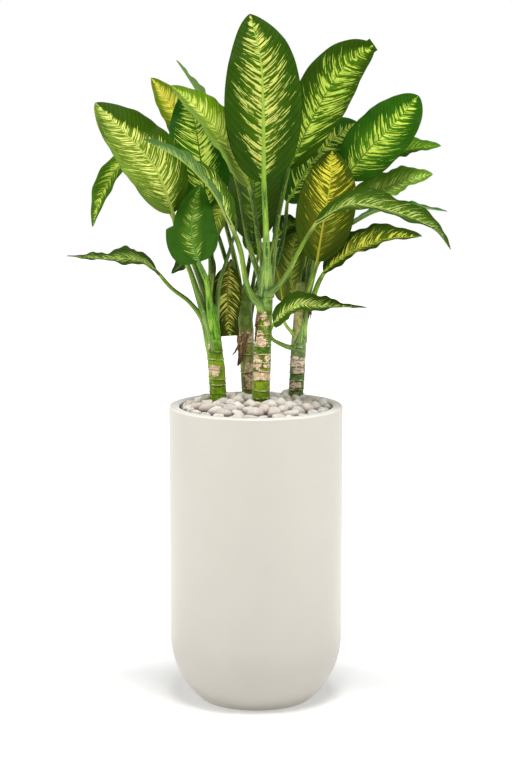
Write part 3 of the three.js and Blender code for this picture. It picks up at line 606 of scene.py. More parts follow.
class Graph:
    """A material and short calls for its nodes."""

    def __init__(self, name):
        self.material = bpy.data.materials.new(name)
        self.material.use_nodes = True
        self.tree = self.material.node_tree
        self.tree.nodes.clear()
        self.shader = self.node("ShaderNodeBsdfPrincipled", {})
        self.node("ShaderNodeOutputMaterial", {"Surface": self.shader.outputs[0]})

    def node(self, kind, inputs, **settings):
        """A node, with a value or a link for each input that is named or numbered."""
        made = self.tree.nodes.new(kind)
        for label, value in settings.items():
            setattr(made, label, value)
        for label, value in inputs.items():
            self.feed(made.inputs[label], value)
        return made

    def feed(self, socket, value):
        if isinstance(value, Signal):
            value = value.socket
        if isinstance(value, bpy.types.NodeSocket):
            self.tree.links.new(value, socket)
        else:
            socket.default_value = value

    def math(self, operation, *values):
        made = self.node("ShaderNodeMath", dict(enumerate(values)), operation=operation)
        return Signal(self, made.outputs[0])

    def split(self, vector):
        """The three numbers of a vector."""
        made = self.node("ShaderNodeSeparateXYZ", {0: vector})
        return [Signal(self, output) for output in made.outputs]

    def join(self, *numbers):
        return self.node("ShaderNodeCombineXYZ", dict(enumerate(numbers))).outputs[0]

    def values(self, name):
        """The three values that each point of the mesh holds under a name."""
        return self.split(self.node("ShaderNodeAttribute", {}, attribute_name=name).outputs["Vector"])

    def place(self):
        """Where the point lies in the piece, in metres."""
        return self.node("ShaderNodeTexCoord", {}).outputs["Object"]

    def noise(self, vector, scale, detail, roughness):
        inputs = {"Vector": vector, "Scale": scale, "Detail": detail, "Roughness": roughness}
        return Signal(self, self.node("ShaderNodeTexNoise", inputs).outputs["Fac"])

    def rise(self, value, low, high):
        """0 below low, 1 above high, and smooth between them. The other way round if low is higher."""
        inputs = {"Value": value, "From Min": low, "From Max": high}
        made = self.node("ShaderNodeMapRange", inputs, interpolation_type="SMOOTHSTEP")
        return Signal(self, made.outputs["Result"])

    def mix(self, share, first, second):
        """The first colour where share is 0, and the second where it is 1."""
        inputs = {0: share, 6: tone(first), 7: tone(second)}
        return self.node("ShaderNodeMix", inputs, data_type="RGBA").outputs[2]

    def shade(self, colour, amount):
        """The colour made lighter or darker by a number near 1."""
        inputs = {0: tone(colour)[:3] if isinstance(colour, tuple) else colour, "Scale": amount}
        return self.node("ShaderNodeVectorMath", inputs, operation="SCALE").outputs[0]

    def relief(self, height, depth, strength):
        inputs = {"Height": height, "Distance": depth, "Strength": strength}
        self.feed(self.shader.inputs["Normal"], self.node("ShaderNodeBump", inputs).outputs[0])

    def finish(self, colour, roughness, specular):
        inputs = {"Base Color": colour, "Roughness": roughness, "Specular IOR Level": specular}
        for label, value in inputs.items():
            self.feed(self.shader.inputs[label], value)
        return self.material


def pot_material():
    """Matt off-white planter: a faint mottling, fine grain, a painted highlight on the rim's top and
    painted shade near the floor.
    """
    g = Graph("planter_matt")
    place = g.place()
    cloud = g.noise(place, 9, 4, 0.6)
    grain = g.noise(place, 900, 2, 0.6)
    colour = g.mix(cloud, (196, 191, 180), (203, 198, 187))
    height = g.split(place)[2]
    # Painted highlight: the top of the rim is made paler, where light would fall on it.
    painted_rim_highlight = g.rise(height, (POT_HEIGHT - POT_EDGE) * MM, POT_HEIGHT * MM)
    colour = g.mix(painted_rim_highlight, colour, (246, 243, 236))
    # Painted shade: the planter is made darker towards the floor, besides its fine grain.
    colour = g.shade(colour, grain * 0.05 + g.rise(height, *POT_PAINTED_SHADE) * 0.13 + 0.845)
    g.relief(grain * 0.6 + cloud * 0.4, 0.00025, 0.35)
    return g.finish(colour, cloud * 0.1 + 0.28, 0.5)


def soil_material():
    g = Graph("potting_soil")
    place = g.place()
    crumbs = g.noise(place, 260, 5, 0.7)
    colour = g.mix(g.rise(crumbs, 0.35, 0.7), (38, 28, 20), (92, 74, 56))
    g.relief(crumbs, 0.004, 0.9)
    return g.finish(colour, crumbs * 0.2 + 0.75, 0.2)


def pebble_material():
    """Tumbled stones, each with its own tint and cloudiness, and painted shade towards each one's bottom.
    """
    g = Graph("tumbled_stone")
    place = g.place()
    warmth, light, height = g.values("stone")
    cloud = g.noise(place, 60, 5, 0.65)
    grain = g.noise(place, 700, 3, 0.6)
    pale = g.mix(warmth, (232, 228, 221), (234, 224, 213))
    dusky = g.mix(warmth, (204, 197, 188), (212, 197, 184))
    colour = g.mix(g.rise(cloud + light * 0.3, 0.42, 0.82), dusky, pale)
    speck = g.rise(g.noise(place, 420, 2, 0.5), 0.68, 0.74)
    colour = g.mix(speck * 0.35, colour, (140, 126, 116))
    # Painted shade: each stone is darker towards its bottom.
    colour = g.shade(colour, g.rise(height, -0.15, 0.6) * 0.78 + 0.24)
    g.relief(grain * 0.5 + cloud, 0.0009, 0.45)
    return g.finish(colour, cloud * 0.25 + 0.5, 0.35)


def cane_material(name, cane):
    """Green cane: pale wavy rings, corky patches, brown specks, and bluish sheaths above."""
    g = Graph(f"cane_{name}_skin")
    place = g.place()
    angle, height, segment = g.values("form")
    ring, patch, below = g.values("marks")
    fibre = g.noise(g.join(angle * 46, height * 22, 0.0), 1, 3, 0.6)
    flat = g.node("ShaderNodeVectorMath", {0: place, 1: (1, 1, 1.7)}, operation="MULTIPLY").outputs[0]
    cloud = g.noise(place, 70, 4, 0.6)
    lump = g.noise(flat, 130, 3, 0.6)
    fine = g.noise(flat, 380, 3, 0.65)
    dark, bright = cane.greens
    green = g.mix(segment * 0.75, dark, bright)
    green = g.mix(g.rise(lump, 0.48, 0.62) * 0.7, green, bright)
    green = g.shade(green, fibre * 0.6 + g.rise(cloud, 0.38, 0.6) * 0.6 + 0.35)
    upper = g.mix(g.rise(cloud, 0.4, 0.62), *cane.upper)
    upper = g.shade(upper, fibre * 0.8 + 0.6)
    sheathed = cane.sheathed * MM
    colour = g.mix(g.rise(height + cloud * 0.02, sheathed, sheathed + 0.03), green, upper)
    broken = patch * 0.9 + (cloud - 0.5) * 1.7 + (lump - 0.5) * 0.9 + (fine - 0.5) * 1.1
    cork = g.mix(g.rise(lump, 0.38, 0.6), *cane.cork)
    cork = g.mix(g.rise(g.noise(flat, 170, 3, 0.6), 0.5, 0.3) * 0.8, cork, (124, 90, 50))
    colour = g.mix(g.rise(broken, 0.5, 0.6), colour, cork)
    rim = g.rise(broken, 0.38, 0.48) * g.rise(broken, 0.68, 0.54)
    colour = g.mix(rim * g.rise(lump, 0.42, 0.58) * 0.85, colour, (92, 54, 26))
    colour = g.mix(g.rise(below, 0.3, 0.9) * g.rise(fine, 0.36, 0.56) * 0.8, colour, (66, 58, 18))
    scar = g.rise(ring + (lump - 0.5) * 1.3 + (fine - 0.5) * 0.5, 0.6, 0.8)
    colour = g.mix(scar, colour, (226, 212, 156))
    specks = g.rise(g.noise(flat, 230, 2, 0.6), 0.61, 0.66) * g.rise(height, sheathed, sheathed - 0.06)
    colour = g.mix(specks * 0.85, colour, (98, 58, 28))
    g.relief(fibre * 0.3 + broken * 0.3 + scar * 0.5 + lump * 0.4, 0.0014, 0.7)
    return g.finish(colour, cloud * 0.2 + 0.3, STALK_GLOSS)


def dry_material():
    """Papery brown remains of a sheath, with dark edges and pale frayed spots."""
    g = Graph("dry_sheath")
    across, along, _ = g.values("form")
    fibre = g.noise(g.join(across * 3, along * 3, 0.0), 1, 4, 0.65)
    blotch = g.noise(g.place(), 150, 4, 0.6)
    colour = g.mix(g.rise(fibre, 0.38, 0.6), (54, 40, 24), (146, 116, 74))
    colour = g.mix(g.rise(blotch - along * 0.12, 0.5, 0.6), colour, (196, 164, 120))
    colour = g.mix(g.rise(along, 0.3, 0.95) * 0.75, colour, (56, 38, 22))
    g.relief(fibre + blotch * 0.5, 0.0014, 0.8)
    return g.finish(colour, blotch * 0.2 + 0.62, 0.2)


def blade_material(name, leaf, seed):
    """The blade's upper side is feathered between its side veins, and its underside is paler."""
    g = Graph(f"blade_{name}")
    across, along, side = g.values("form")
    number, apart, _ = g.values("veins")
    left = g.rise(across, 0.01, -0.01)
    half = left * 9.3 + seed
    broad = g.noise(g.join(number * 1.1, apart * 0.02, half), 1, 1, 0.5)
    thin = g.noise(g.join(number * 4.6, apart * 0.036, half + 3.1), 1, 1, 0.5)
    hair = g.noise(g.join(number * 12, apart * 0.15, half + 5.3), 1, 1, 0.5)

    def by_half(pair):
        return left * (pair[0] - pair[1]) + pair[1]

    reach = by_half(leaf.reach)
    if any(leaf.tip):
        reach = reach * (1 - g.rise(along, 0.35, 0.85) * by_half(leaf.tip))
    reach = (along * (1 - along) * 4) ** 0.55 * reach + 0.02
    fall = g.math("MINIMUM", g.math("ABSOLUTE", across) / reach, 2.0)
    lines = g.math("COSINE", number * (2 * math.pi))
    parted = g.rise(lines, 0.3, 1.0) * 0.1
    strokes = thin - parted + broad * 0.22 + hair * 0.33 + along * leaf.more + leaf.cover
    strokes = strokes - fall * fall * 0.2
    feather = g.rise(strokes, 0.765, 0.815)
    cloud = g.noise(g.join(along * 5, across * 3, half + 7.7), 1, 3, 0.55)
    ground = leaf.ground
    if leaf.left:
        ground = g.mix(left * g.rise(cloud + (1 - along) * 0.3, 0.3, 0.62), ground, leaf.left)
    close = g.rise(fall + (cloud - 0.5) * 0.8, 1.0, 0.15)
    colour = g.mix(close, ground, leaf.near)
    colour = g.shade(colour, cloud * 0.6 + 0.42 + thin * 0.3 + hair * 0.26)
    colour = g.shade(colour, 1 - g.rise(lines, 0.4, 1.0) * 0.22)
    streak = g.mix(g.rise(fall, 0.2, 1.1) * 0.6, leaf.streak, leaf.outer)
    if leaf.foot:
        streak = g.mix(g.rise(along + (cloud - 0.5) * 0.3, 0.5, 0.3), streak, leaf.foot)
    streak = g.shade(streak, broad * 0.6 + 0.7)
    colour = g.mix(feather, colour, streak)
    pale = g.shade(leaf.under, cloud * 0.5 + 0.72 + g.rise(lines, 0.6, 1.0) * 0.2)
    below = g.mix(UNDER_SHARE, colour, pale)
    colour = g.mix(g.rise(side, 0.2, -0.2), colour, below)
    grain = g.noise(g.place(), 600, 2, 0.5)
    g.relief(lines * 0.25 + grain * 0.35 + feather * 0.15, 0.0006, 0.55)
    return g.finish(colour, cloud * 0.2 + 0.36, LEAF_GLOSS)


def stalk_material(name, leaf):
    """Petiole and midrib: lengthwise fibres, pale flecks, and painted light on one side with painted
    shade on the other, turning to the rib's colour.
    """
    g = Graph(f"stalk_{name}")
    angle, along, part = g.values("form")
    fibre = g.noise(g.join(angle * 7, along * 4, 0.0), 1, 3, 0.6)
    fine = g.noise(g.join(angle * 30, along * 9, 4.0), 1, 2, 0.6)
    flecks = g.rise(g.noise(g.place(), 240, 2, 0.6), 0.62, 0.7)
    colour = g.mix(g.rise(along, 0.7, 0.05), leaf.stalk, leaf.low)
    # Painted light and shade: one side of the ring is made lighter, the other darker.
    colour = g.shade(colour, g.rise(angle, -0.6, 0.6) * 0.95 + 0.36)
    colour = g.mix(g.rise(fibre, 0.52, 0.4) * 0.85, colour, STALK_SHADE)
    colour = g.mix(g.rise(fibre, 0.52, 0.62) * 0.8, colour, STALK_PALE)
    colour = g.mix(flecks * 0.45, colour, (186, 206, 140))
    colour = g.mix(part, colour, leaf.rib)
    colour = g.shade(colour, fine * 0.3 + 0.85)
    g.relief(fibre + fine * 0.2, 0.0008, 0.4)
    return g.finish(colour, fine * 0.2 + 0.28, STALK_GLOSS)


# Planter, soil and pebbles.

def rim_edge(radius, side):
    """A quarter circle along the rim's edge: side is 1 at the outer wall and -1 at the mouth."""
    turn = np.linspace(0, math.pi / 2, POT_EDGE_STEPS + 1)
    return [(radius - side * POT_EDGE * (1 - math.cos(t)), POT_HEIGHT - POT_EDGE * (1 - math.sin(t)))
            for t in turn]


def pot_profile():
    """Radius and height, from the foot's edge, up outside, over the rim and down inside."""
    bowl = math.sqrt(POT_RADIUS**2 - POT_FOOT_RADIUS**2)
    inside = POT_RADIUS - POT_WALL
    mouth = POT_RADIUS - POT_LIP_WIDTH
    lowest = math.asin(-bowl / POT_RADIUS)
    floor = math.asin((POT_FLOOR - bowl) / inside)
    down = np.linspace(1, 0, BOWL_STEPS + 1)

    def curve(radius, angles):
        return [(radius * math.cos(a), bowl + radius * math.sin(a)) for a in angles]

    lip = [(mouth, POT_HEIGHT - POT_LIP_DEPTH), (inside, POT_HEIGHT - POT_LIP_DEPTH - POT_LIP_SLOPE)]
    return [*curve(POT_RADIUS, lowest * down), *rim_edge(POT_RADIUS, 1), *rim_edge(mouth, -1)[::-1],
            *lip, *curve(inside, floor * down[::-1])]


def make_pot():
    profile = pot_profile()
    points = [(r * math.cos(t), r * math.sin(t), z) for r, z in profile for t in around(POT_SEGMENTS)]
    piece = make_mesh("planter", points, tube_faces(len(profile), POT_SEGMENTS))
    piece.data.set_sharp_from_angle(angle=math.radians(POT_SHARP))
    dress(piece, "pot", "pot", pot_material())


def chances(state):
    """Shares from 0 to 1: the part's own generator."""
    while True:
        state = state * 16807 % 2147483647
        yield state / 2147483647


def between(span, share):
    return span[0] + (span[1] - span[0]) * share


def pebble_places():
    """Centre, half sizes, tilt and turn of each stone of the part's grid."""
    draw = chances(PEBBLE_SEED)
    row = PEBBLE_SPACING * math.sqrt(3) / 2
    rows = math.ceil(PEBBLE_BED_RADIUS / row)
    stones = []
    for i in range(-rows, rows + 1):
        for j in range(-rows, rows + 1):
            x = PEBBLE_SPACING * (j + math.fmod(i, 2) / 2) + PEBBLE_JITTER * (2 * next(draw) - 1)
            y = row * i + PEBBLE_JITTER * (2 * next(draw) - 1)
            if math.hypot(x, y) >= PEBBLE_BED_RADIUS - PEBBLE_EDGE:
                continue
            spans = PEBBLE_LENGTH, PEBBLE_WIDTH, PEBBLE_THICKNESS
            size = [between(span, next(draw)) for span in spans]
            tilt = PEBBLE_TILT * (next(draw) - 0.5)
            turn = next(draw) * math.pi
            crown = PEBBLE_CROWN * (1 - math.hypot(x, y) / POT_RADIUS)
            z = PEBBLE_BED_TOP + crown + between(PEBBLE_RISE, next(draw))
            stones.append(((x, y, z), size, tilt, turn))
    return stones


def clear_of_canes(centre):
    """The centre moved out from any cane that it lies too near."""
    x, y, z = centre
    for cane in CANES.values():
        cx, cy, _ = cane.line[0]
        least = cane.radii[0] + PEBBLE_ROOM
        gap = math.hypot(x - cx, y - cy)
        if gap < least:
            x = cx + (x - cx) * least / gap
            y = cy + (y - cy) * least / gap
    return x, y, z


def stone_shape(ball, size, draw):
    """A tumbled stone: a lumpy ball with a few worn flats."""
    points = np.sign(ball) * np.abs(ball) ** STONE_POWER
    offset = Vector([draw.uniform(0, 50) for _ in range(3)])
    lumps = [noise.noise(Vector(p) * STONE_LUMPS + offset) for p in ball]
    points = points * (1 + STONE_LUMP * np.array(lumps))[:, None]
    for _ in range(STONE_FLATS):
        way = unit([draw.gauss(0, 1) for _ in range(3)])
        over = np.maximum(0, points @ way - draw.uniform(*STONE_FLAT_OUT))
        points = points - STONE_FLAT_WORN * over[:, None] * way
    return points * size


def turned(points, angle, first, second):
    """The points turned by an angle from the first axis towards the second."""
    a, b = points[:, first], points[:, second]
    result = points.copy()
    result[:, first] = a * math.cos(angle) - b * math.sin(angle)
    result[:, second] = a * math.sin(angle) + b * math.cos(angle)
    return result


def make_pebbles():
    """The part's stones, lower ones that fill the gaps, and small ones along the wall."""
    template = bpy.data.meshes.new("ball")
    ball = bmesh.new()
    bmesh.ops.create_icosphere(ball, subdivisions=3, radius=1.0)
    ball.to_mesh(template)
    ball.free()
    sphere = np.array([v.co for v in template.vertices])
    sphere_faces = [tuple(p.vertices) for p in template.polygons]
    draw = random.Random(PEBBLE_SEED)
    points, faces, stone = [], [], []

    def add(centre, size, tilt, turn):
        first = len(points) * len(sphere)
        shape = turned(turned(stone_shape(sphere, size, draw), tilt, 1, 2), turn, 0, 1)
        points.append(shape + centre)
        faces.extend(tuple(first + k for k in face) for face in sphere_faces)
        warmth, light = draw.random(), draw.random()
        # The third value, the height within the stone, is what the material paints shade from.
        stone.extend((warmth, light, height / size[2]) for height in shape[:, 2])

    for centre, size, tilt, turn in pebble_places():
        x, y, z = centre
        size = np.array(size) * PEBBLE_STRETCH
        add(clear_of_canes(centre), size, tilt * PEBBLE_LEAN, turn)
        for way in (-1, 1):
            lower = (x + PEBBLE_SPACING / 2, y + way * LOWER_SIDE + draw.uniform(-3, 3), z - LOWER_DROP)
            if math.hypot(lower[0], lower[1]) < PEBBLE_BED_RADIUS - PEBBLE_EDGE:
                add(clear_of_canes(lower), size * LOWER_SHARE, draw.uniform(-LOWER_TILT, LOWER_TILT),
                    turn * 1.7 + way)
    for k in range(RIM_STONES):
        way = 2 * math.pi * (k + draw.uniform(-0.2, 0.2)) / RIM_STONES
        size = [between(span, draw.random()) for span in RIM_STONE_SIZES]
        out = PEBBLE_BED_RADIUS - size[1] + 1
        add((out * math.cos(way), out * math.sin(way), PEBBLE_BED_TOP + draw.uniform(-2, 4)), size,
            draw.uniform(-RIM_STONE_TILT, RIM_STONE_TILT), way + math.pi / 2)
    piece = make_mesh("pebbles", np.vstack(points), faces, stone=stone)
    dress(piece, "pebble_layer", "pebbles", pebble_material())


# Canes.

def cane_line(cane):
    line = np.array(cane.line, float)
    slope = line[1] - line[0]
    root = line[0] + slope * (CANE_ROOT - line[0][2]) / slope[2]
    return np.vstack([root, line]), np.array([cane.radii[0] * CANE_ROOT_SHARE, *cane.radii])


def cane_at(cane, height):
    """Centre and radius at a height."""
    line, radii = cane_line(cane)
    heights = line[:, 2]
    if height > heights[-1]:
        share = (height - heights[-2]) / (heights[-1] - heights[-2])
        return between(line[-2:], share), between(radii[-2:], share)
    centre = np.array([np.interp(height, heights, line[:, k]) for k in range(3)])
    return centre, np.interp(height, heights, radii)


def facing(angle, centre):
    """The angle from a centre in degrees, as radians from -pi to pi."""
    return (angle - math.radians(centre) + math.pi) % (2 * math.pi) - math.pi


def make_cane(name, seed):
    cane = CANES[name]
    top = cane.line[-1][2]
    crown = cane.radii[-1] * CANE_CROWN_RISE
    heights = np.arange(CANE_ROOT, top, CANE_STEP)
    turn = around(CANE_SIDES)
    draw = random.Random(seed)
    scars = [(z, draw.uniform(0, 2 * math.pi), draw.uniform(*NODE_SWAY)) for z in cane.scars]
    tones = [draw.random() for _ in range(len(scars) + 1)]
    points, form, marks = [], [], []
    for z in heights:
        centre, radius = cane_at(cane, z)
        segment = tones[sum(z > scar for scar, _, _ in scars)]
        for t in turn:
            ring = groove = 0.0
            for scar, phase, sway in scars:
                up = z - scar - sway * math.sin(t + phase) - NODE_RIPPLE * math.sin(3 * t + phase * 2)
                ring = max(ring, math.exp(-((up / NODE_RING_HALF) ** 2)))
                groove = max(groove, math.exp(-(((up + NODE_GROOVE_DROP) / NODE_GROOVE_HALF) ** 2)))
            patch = 0.0
            for low, high, way, spread in cane.patches:
                across = facing(t, way) / math.radians(spread)
                rise = (2 * z - low - high) / (high - low)
                patch = max(patch, math.exp(-0.6 * across**4 - 0.6 * rise**4))
            x, y = math.cos(t), math.sin(t)
            lump = noise.noise(Vector((x * 1.4, y * 1.4, z / CANE_LUMP_HEIGHT + seed * 7)))
            out = radius * (1 + CANE_LUMP * lump) + NODE_RING * ring - NODE_GROOVE * groove
            out += CORK_RISE * patch
            points.append((centre[0] + out * x, centre[1] + out * y, z))
            form.append((y * 0.5 + 0.5 * t / math.pi, z * MM, segment))
            marks.append((ring, patch, groove))
    centre, radius = cane_at(cane, top)
    for share in (0.35, 0.7, 1.0):
        out = radius * (1 - (1 - CANE_CROWN_SHARE) * share**2)
        for t in turn:
            x, y = math.cos(t), math.sin(t)
            points.append((centre[0] + out * x, centre[1] + out * y, top + crown * share))
            form.append((y * 0.5 + 0.5 * t / math.pi, top * MM, 0.5))
            marks.append((0.0, 0.0, 0.0))
    faces = tube_faces(len(points) // CANE_SIDES, CANE_SIDES)
    piece = make_mesh(f"cane_{name}_grown", points, faces, form=form, marks=marks)
    dress(piece, f"cane_{name}", "cane", cane_material(name, cane))


def make_dry_sheath(name, material, seed):
    """Papery strips that still cling to their cane, with pointed ends that hang free."""
    sheath = DRY_SHEATHS[name]
    draw = random.Random(seed)
    wide = TATTER_COLUMNS + 1
    points, form, faces = [], [], []
    for k in range(sheath.count):
        place = (k + 0.5) / sheath.count * 2 - 1
        length = (sheath.high - sheath.low) * draw.uniform(0.5, 1.0) * (1 - 0.3 * abs(place))
        high = sheath.high - draw.uniform(0, 9)
        half = math.radians(sheath.spread) * draw.uniform(0.7, 1.5) / sheath.count
        middle = math.radians(sheath.faces + place * sheath.spread)
        drift = draw.uniform(-0.35, 0.15) - place * 0.25
        curl = sheath.hang * draw.uniform(0.4, 1.2)
        first = len(points)
        for i in range(TATTER_ROWS + 1):
            along = i / TATTER_ROWS
            z = high - length * along
            centre, radius = cane_at(CANES[name], z)
            free = max(0, along - TATTER_FREE) / (1 - TATTER_FREE)
            ragged = noise.noise(Vector((along * 9, k * 5.1, seed * 3.3)))
            width = half * (1 + 0.5 * ragged) * (1 - along**3) + TATTER_END
            for j in range(wide):
                across = 2 * j / TATTER_COLUMNS - 1
                t = middle + across * width + drift * along
                crinkle = noise.noise(Vector((across * 1.6, along * 8, k * 7.7 + seed)))
                out = (radius + NODE_RING + 0.8 + sheath.out + 1.4 * abs(across) + 1.5 * crinkle
                       + curl * free**1.6 + k % 2)
                points.append((centre[0] + out * math.cos(t), centre[1] + out * math.sin(t), z))
                form.append((across + k * 3, along, place))
        for i in range(TATTER_ROWS):
            for j in range(TATTER_COLUMNS):
                a = first + i * wide + j
                faces.append((a, a + 1, a + wide + 1, a + wide))
    piece = make_mesh(f"dry_sheath_{name}", points, faces, form=form)
    thick = piece.modifiers.new("thickness", "SOLIDIFY")
    thick.thickness = TATTER_THICKNESS * MM
    thick.offset = 0
    piece.data.materials.append(material)
    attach(piece, "root")


# Leaves.

def petiole_points(leaf):
    foot, radius = cane_at(leaf.cane, leaf.height)
    top, _ = cane_at(leaf.cane, leaf.height + SHEATH_LENGTH)
    outward = np.array(leaf.petiole[0], float) - foot
    outward[2] = 0
    outward = unit(outward)
    start = foot + outward * radius * SHEATH_FOOT_OUT
    return [start, top + outward * radius * SHEATH_TOP_OUT, *np.array(leaf.petiole, float)], outward


def blade_frame(leaf, v):
    """The midrib's points, the way across the blade and the way up from it, at shares v."""
    centre = spline(leaf.midrib, v)
    step = 1e-4
    along = unit(spline(leaf.midrib, v + step) - spline(leaf.midrib, v - step))
    across = unit(np.cross(along, between(unit(leaf.faces), v[:, None])))
    return centre, across, unit(np.cross(across, along))


def outline_at(leaf, v):
    """The outline's half width at shares v of its length, as a share of its widest."""
    base, tip = leaf.round

    def shape(share):
        return share**base * (1 - share) ** tip

    return shape(v) / shape(base / (base + tip))


def blade_length(leaf):
    steps = np.diff(spline(leaf.midrib, np.linspace(0, 1, 60)), axis=0)
    return np.linalg.norm(steps, axis=1).sum()


def half_width(leaf, u, v):
    """Half of the blade's width on the side of u at shares v of its length."""
    width = leaf.width / 2 * outline_at(leaf, v)
    if leaf.nick:
        torn = np.clip((v - leaf.nick) / NICK_LENGTH, 0, 1) * NICK_SHARE
        width = np.where(u < 0, width * (1 - torn), width)
    least = np.where(v < 0.5, BLADE_BASE_HALF, leaf.blunt)
    return np.maximum(least, width)


def blade_points(leaf, seed):
    """The blade's upper and lower points, and the values that its material reads."""
    even = np.linspace(0, 1, BLADE_STATIONS + 1)
    stations = (even + (1 - np.cos(math.pi * even)) / 2) / 2
    halves = BLADE_HALF_COLUMNS
    columns = np.array([-h for h in halves[:0:-1]] + halves)
    v, u = np.meshgrid(stations, columns, indexing="ij")
    centre, across, up = blade_frame(leaf, stations)
    half = half_width(leaf, u, v)
    fold = math.radians(leaf.fold)
    height, count = leaf.waves
    shift = np.where(u < 0, WAVE_SHIFT, 0)
    fade = np.sin(math.pi * v)
    wave = height * fade * np.sin(2 * math.pi * count * v + shift) * u * u
    side = np.sign(u)
    ruffle = np.sin(2 * math.pi * (count * RUFFLES * v + 0.13 * seed) + side)
    ruffle = RUFFLE * fade * np.abs(u) ** 3 * ruffle
    distance = np.abs(u) * half
    climb = VEIN_SLOPE + VEIN_BEND * np.abs(u)
    vein = leaf.streaks * (v - distance / blade_length(leaf) * climb)
    swell = np.clip(np.abs(u) * 6, 0, 1) * np.clip((1 - np.abs(u)) * 4, 0, 1)
    quilt = QUILTING * fade * swell * np.cos(2 * math.pi * vein)
    lift = np.abs(u) * half * math.sin(fold) + wave + ruffle + quilt
    flat = centre[:, None] + across[:, None] * (u * half * math.cos(fold))[..., None]
    middle = flat + up[:, None] * lift[..., None]
    thin = np.clip((1 - np.abs(u)) * 8 + 0.5, 0, 1)
    thickness = up[:, None] * BLADE_THICKNESS / 2 * thin[..., None]

    def both(upper, lower):
        return np.vstack([np.reshape(side, (-1, 3)) for side in (upper, lower)])

    points = both(middle + thickness, middle - thickness)
    form = both(*(np.stack([u, v, np.full_like(u, s)], axis=-1) for s in (1.0, -1.0)))
    veins = both(*[np.stack([vein, distance, u], axis=-1)] * 2)
    return points, form, veins, len(stations), len(columns)


def blade_faces(stations, columns):
    """Both faces of the blade and the strip round its margin."""
    under = stations * columns
    faces = []
    for i in range(stations - 1):
        for j in range(columns - 1):
            a = i * columns + j
            b = a + columns
            faces.append((a, a + 1, b + 1, b))
            faces.append((under + a, under + b, under + b + 1, under + a + 1))
    places = ([(i, 0) for i in range(stations)] + [(stations - 1, j) for j in range(1, columns)]
              + [(i, columns - 1) for i in reversed(range(stations - 1))]
              + [(0, j) for j in reversed(range(1, columns - 1))])
    ring = [i * columns + j for i, j in places]
    for a, b in zip(ring, ring[1:] + ring[:1]):
        faces.append((a, b, under + b, under + a))
    return faces


def stalk_points(leaf):
    """One tube from the sheath through the petiole and along the midrib."""
    slim = between((SLIMMEST_PETIOLE, 1), min(1, leaf.width / LARGE_BLADE)) * leaf.stout
    guide, outward = petiole_points(leaf)
    rib_shares = np.linspace(0, RIB_END, RIB_STEPS + 1)
    rib, _, up = blade_frame(leaf, rib_shares)
    end = PETIOLE_END_RADIUS * slim
    rib_radius = between((RIB_END_RADIUS, end), (1 - rib_shares) ** RIB_TAPER)
    rib_radius = rib_radius * between((RIB_SLIMMEST, 1), leaf.rib_show)
    sink = rib_radius * (1 - leaf.rib_show * RIB_RISE) - BLADE_THICKNESS / 2
    rib = rib - up * sink[:, None]
    petiole = evenly([*guide, np.array(leaf.midrib[0], float)], PETIOLE_STEPS)
    share = np.linspace(0, 1, PETIOLE_STEPS + 1)
    radius = slim * between((PETIOLE_END_RADIUS, PETIOLE_BASE_RADIUS), (1 - share) ** PETIOLE_TAPER)
    join = np.clip((share - RIB_JOIN) / (1 - RIB_JOIN), 0, 1) ** 2
    radius = radius * (1 - PETIOLE_WAIST * np.sin(math.pi * share))
    radius = radius + (rib_radius[0] - radius) * join
    petiole = petiole + (rib[0] - petiole[-1]) * join[:, None]
    path = np.vstack([petiole, rib[1:]])
    radii = np.concatenate([radius, rib_radius[1:]])
    wide, deep = sideways(path, np.cross(outward, (0, 0, 1)))
    spread = np.concatenate([SHEATH_SPREAD * np.clip(1 - share * 3, 0, 1), np.zeros(RIB_STEPS)])
    part = np.concatenate([np.clip((share - RIB_COLOUR) * 8, 0, 1), np.ones(RIB_STEPS)])
    along = np.concatenate([share, np.ones(RIB_STEPS)])
    turn = around(STALK_SIDES)
    points, form = [], []
    for i in range(len(path)):
        ring = (np.cos(turn)[:, None] * wide[i] * (1 + spread[i])
                + np.sin(turn)[:, None] * deep[i] * (1 - 0.4 * spread[i]))
        points.append(path[i] + ring * radii[i])
        # The first value, the sine of the angle round the ring, is what the material paints light and
        # shade from.
        form.append([(math.sin(t), along[i], part[i]) for t in turn])
    return np.vstack(points), np.vstack(form), len(path)


def make_leaf(name, leaf, seed):
    blade, blade_form, veins, stations, columns = blade_points(leaf, seed)
    stalk, stalk_form, rings = stalk_points(leaf)
    faces = blade_faces(stations, columns)
    stalk_faces = tube_faces(rings, STALK_SIDES, len(blade))
    slots = [0] * len(faces) + [1] * len(stalk_faces)
    piece = make_mesh(
        f"leaf_{name}_grown", np.vstack([blade, stalk]), faces + stalk_faces, slots,
        form=np.vstack([blade_form, stalk_form]), veins=np.vstack([veins, stalk_form]))
    slot = "leaf_yellow" if name in YELLOW_LEAVES else "leaf"
    dress(piece, f"leaf_{name}", slot, blade_material(name, leaf, seed), stalk_material(name, leaf))


# Studio.

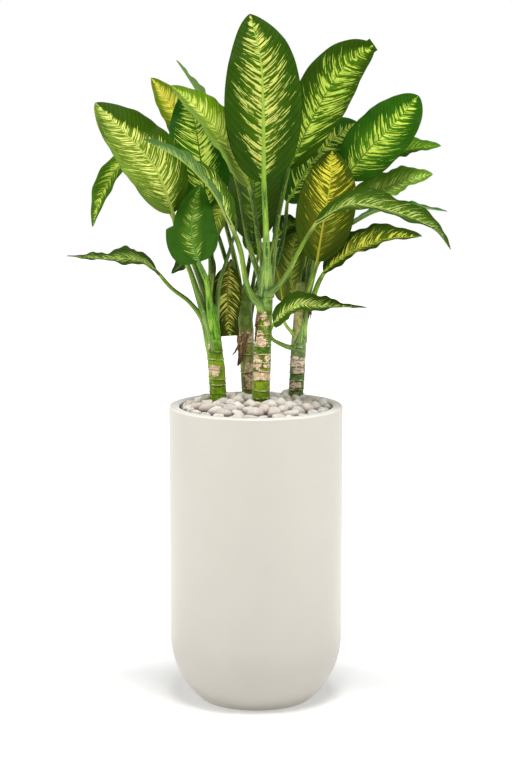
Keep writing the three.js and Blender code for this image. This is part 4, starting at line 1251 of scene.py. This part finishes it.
def make_floor():
    corners = [(x * FLOOR_HALF, y * FLOOR_HALF, 0) for x, y in ((-1, -1), (1, -1), (1, 1), (-1, 1))]
    mesh = bpy.data.meshes.new("floor")
    mesh.from_pydata(corners, [], [(0, 1, 2, 3)])
    floor = new_object("floor", mesh)
    g = Graph("floor_white")
    side, depth, _ = g.split(g.place())
    way = g.join(side, g.math("MAXIMUM", depth * GLOW_BEHIND, depth), 0.0)
    far = g.node("ShaderNodeVectorMath", {0: way}, operation="LENGTH").outputs["Value"]
    glow = g.rise(far, *GLOW_REACH) * (GLOW_FAR - GLOW_NEAR) + GLOW_NEAR
    g.shader.inputs["Emission Color"].default_value = (1, 1, 1, 1)
    g.feed(g.shader.inputs["Emission Strength"], glow)
    speck = g.noise(g.place(), 30, 2, 0.5)
    colour = g.mix(speck, (240, 240, 240), (243, 243, 243))
    mesh.materials.append(g.finish(colour, 0.8, 0.05))


def make_world():
    """White round the horizon, so that the ground behind is plain, and dimmer above it."""
    world = bpy.data.worlds.new("studio")
    world.use_nodes = True
    tree = world.node_tree
    background = tree.nodes["Background"]
    place = tree.nodes.new("ShaderNodeTexCoord")
    split = tree.nodes.new("ShaderNodeSeparateXYZ")
    fall = tree.nodes.new("ShaderNodeMapRange")
    fall.interpolation_type = "SMOOTHSTEP"
    for socket, value in zip(("From Min", "From Max", "To Min", "To Max"), (*SKY_FADE, 1.0, SKY_ABOVE)):
        fall.inputs[socket].default_value = value
    tree.links.new(place.outputs["Generated"], split.inputs[0])
    tree.links.new(split.outputs[2], fall.inputs["Value"])
    tree.links.new(fall.outputs[0], background.inputs["Strength"])
    background.inputs["Color"].default_value = (1, 1, 1, 1)
    bpy.context.scene.world = world


def make_light(name, place, target, size, power):
    data = bpy.data.lights.new(name, "AREA")
    data.shape = "RECTANGLE"
    data.size, data.size_y = size
    data.energy = power
    light = new_object(name, data)
    light.location = place
    light.rotation_euler = (Vector(target) - Vector(place)).to_track_quat("-Z", "Y").to_euler()


def make_camera():
    data = bpy.data.cameras.new("camera")
    data.lens = CAMERA_LENS
    camera = new_object("camera", data)
    camera.location = CAMERA_PLACE
    camera.rotation_euler = (math.radians(90 - CAMERA_PITCH), 0, 0)
    bpy.context.scene.camera = camera


make_pot()
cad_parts["soil"].data.materials.clear()
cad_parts["soil"].data.materials.append(soil_material())
make_pebbles()
for index, name in enumerate(CANES):
    make_cane(name, index + 1)
dry = dry_material()
for index, name in enumerate(DRY_SHEATHS):
    make_dry_sheath(name, dry, index + 1)
for index, (name, leaf) in enumerate(LEAVES.items()):
    make_leaf(name, leaf, index * 3.7)

make_floor()
make_world()
for name, light in LIGHTS.items():
    make_light(name, *light)
make_camera()
bpy.context.scene.view_settings.view_transform = "Standard"
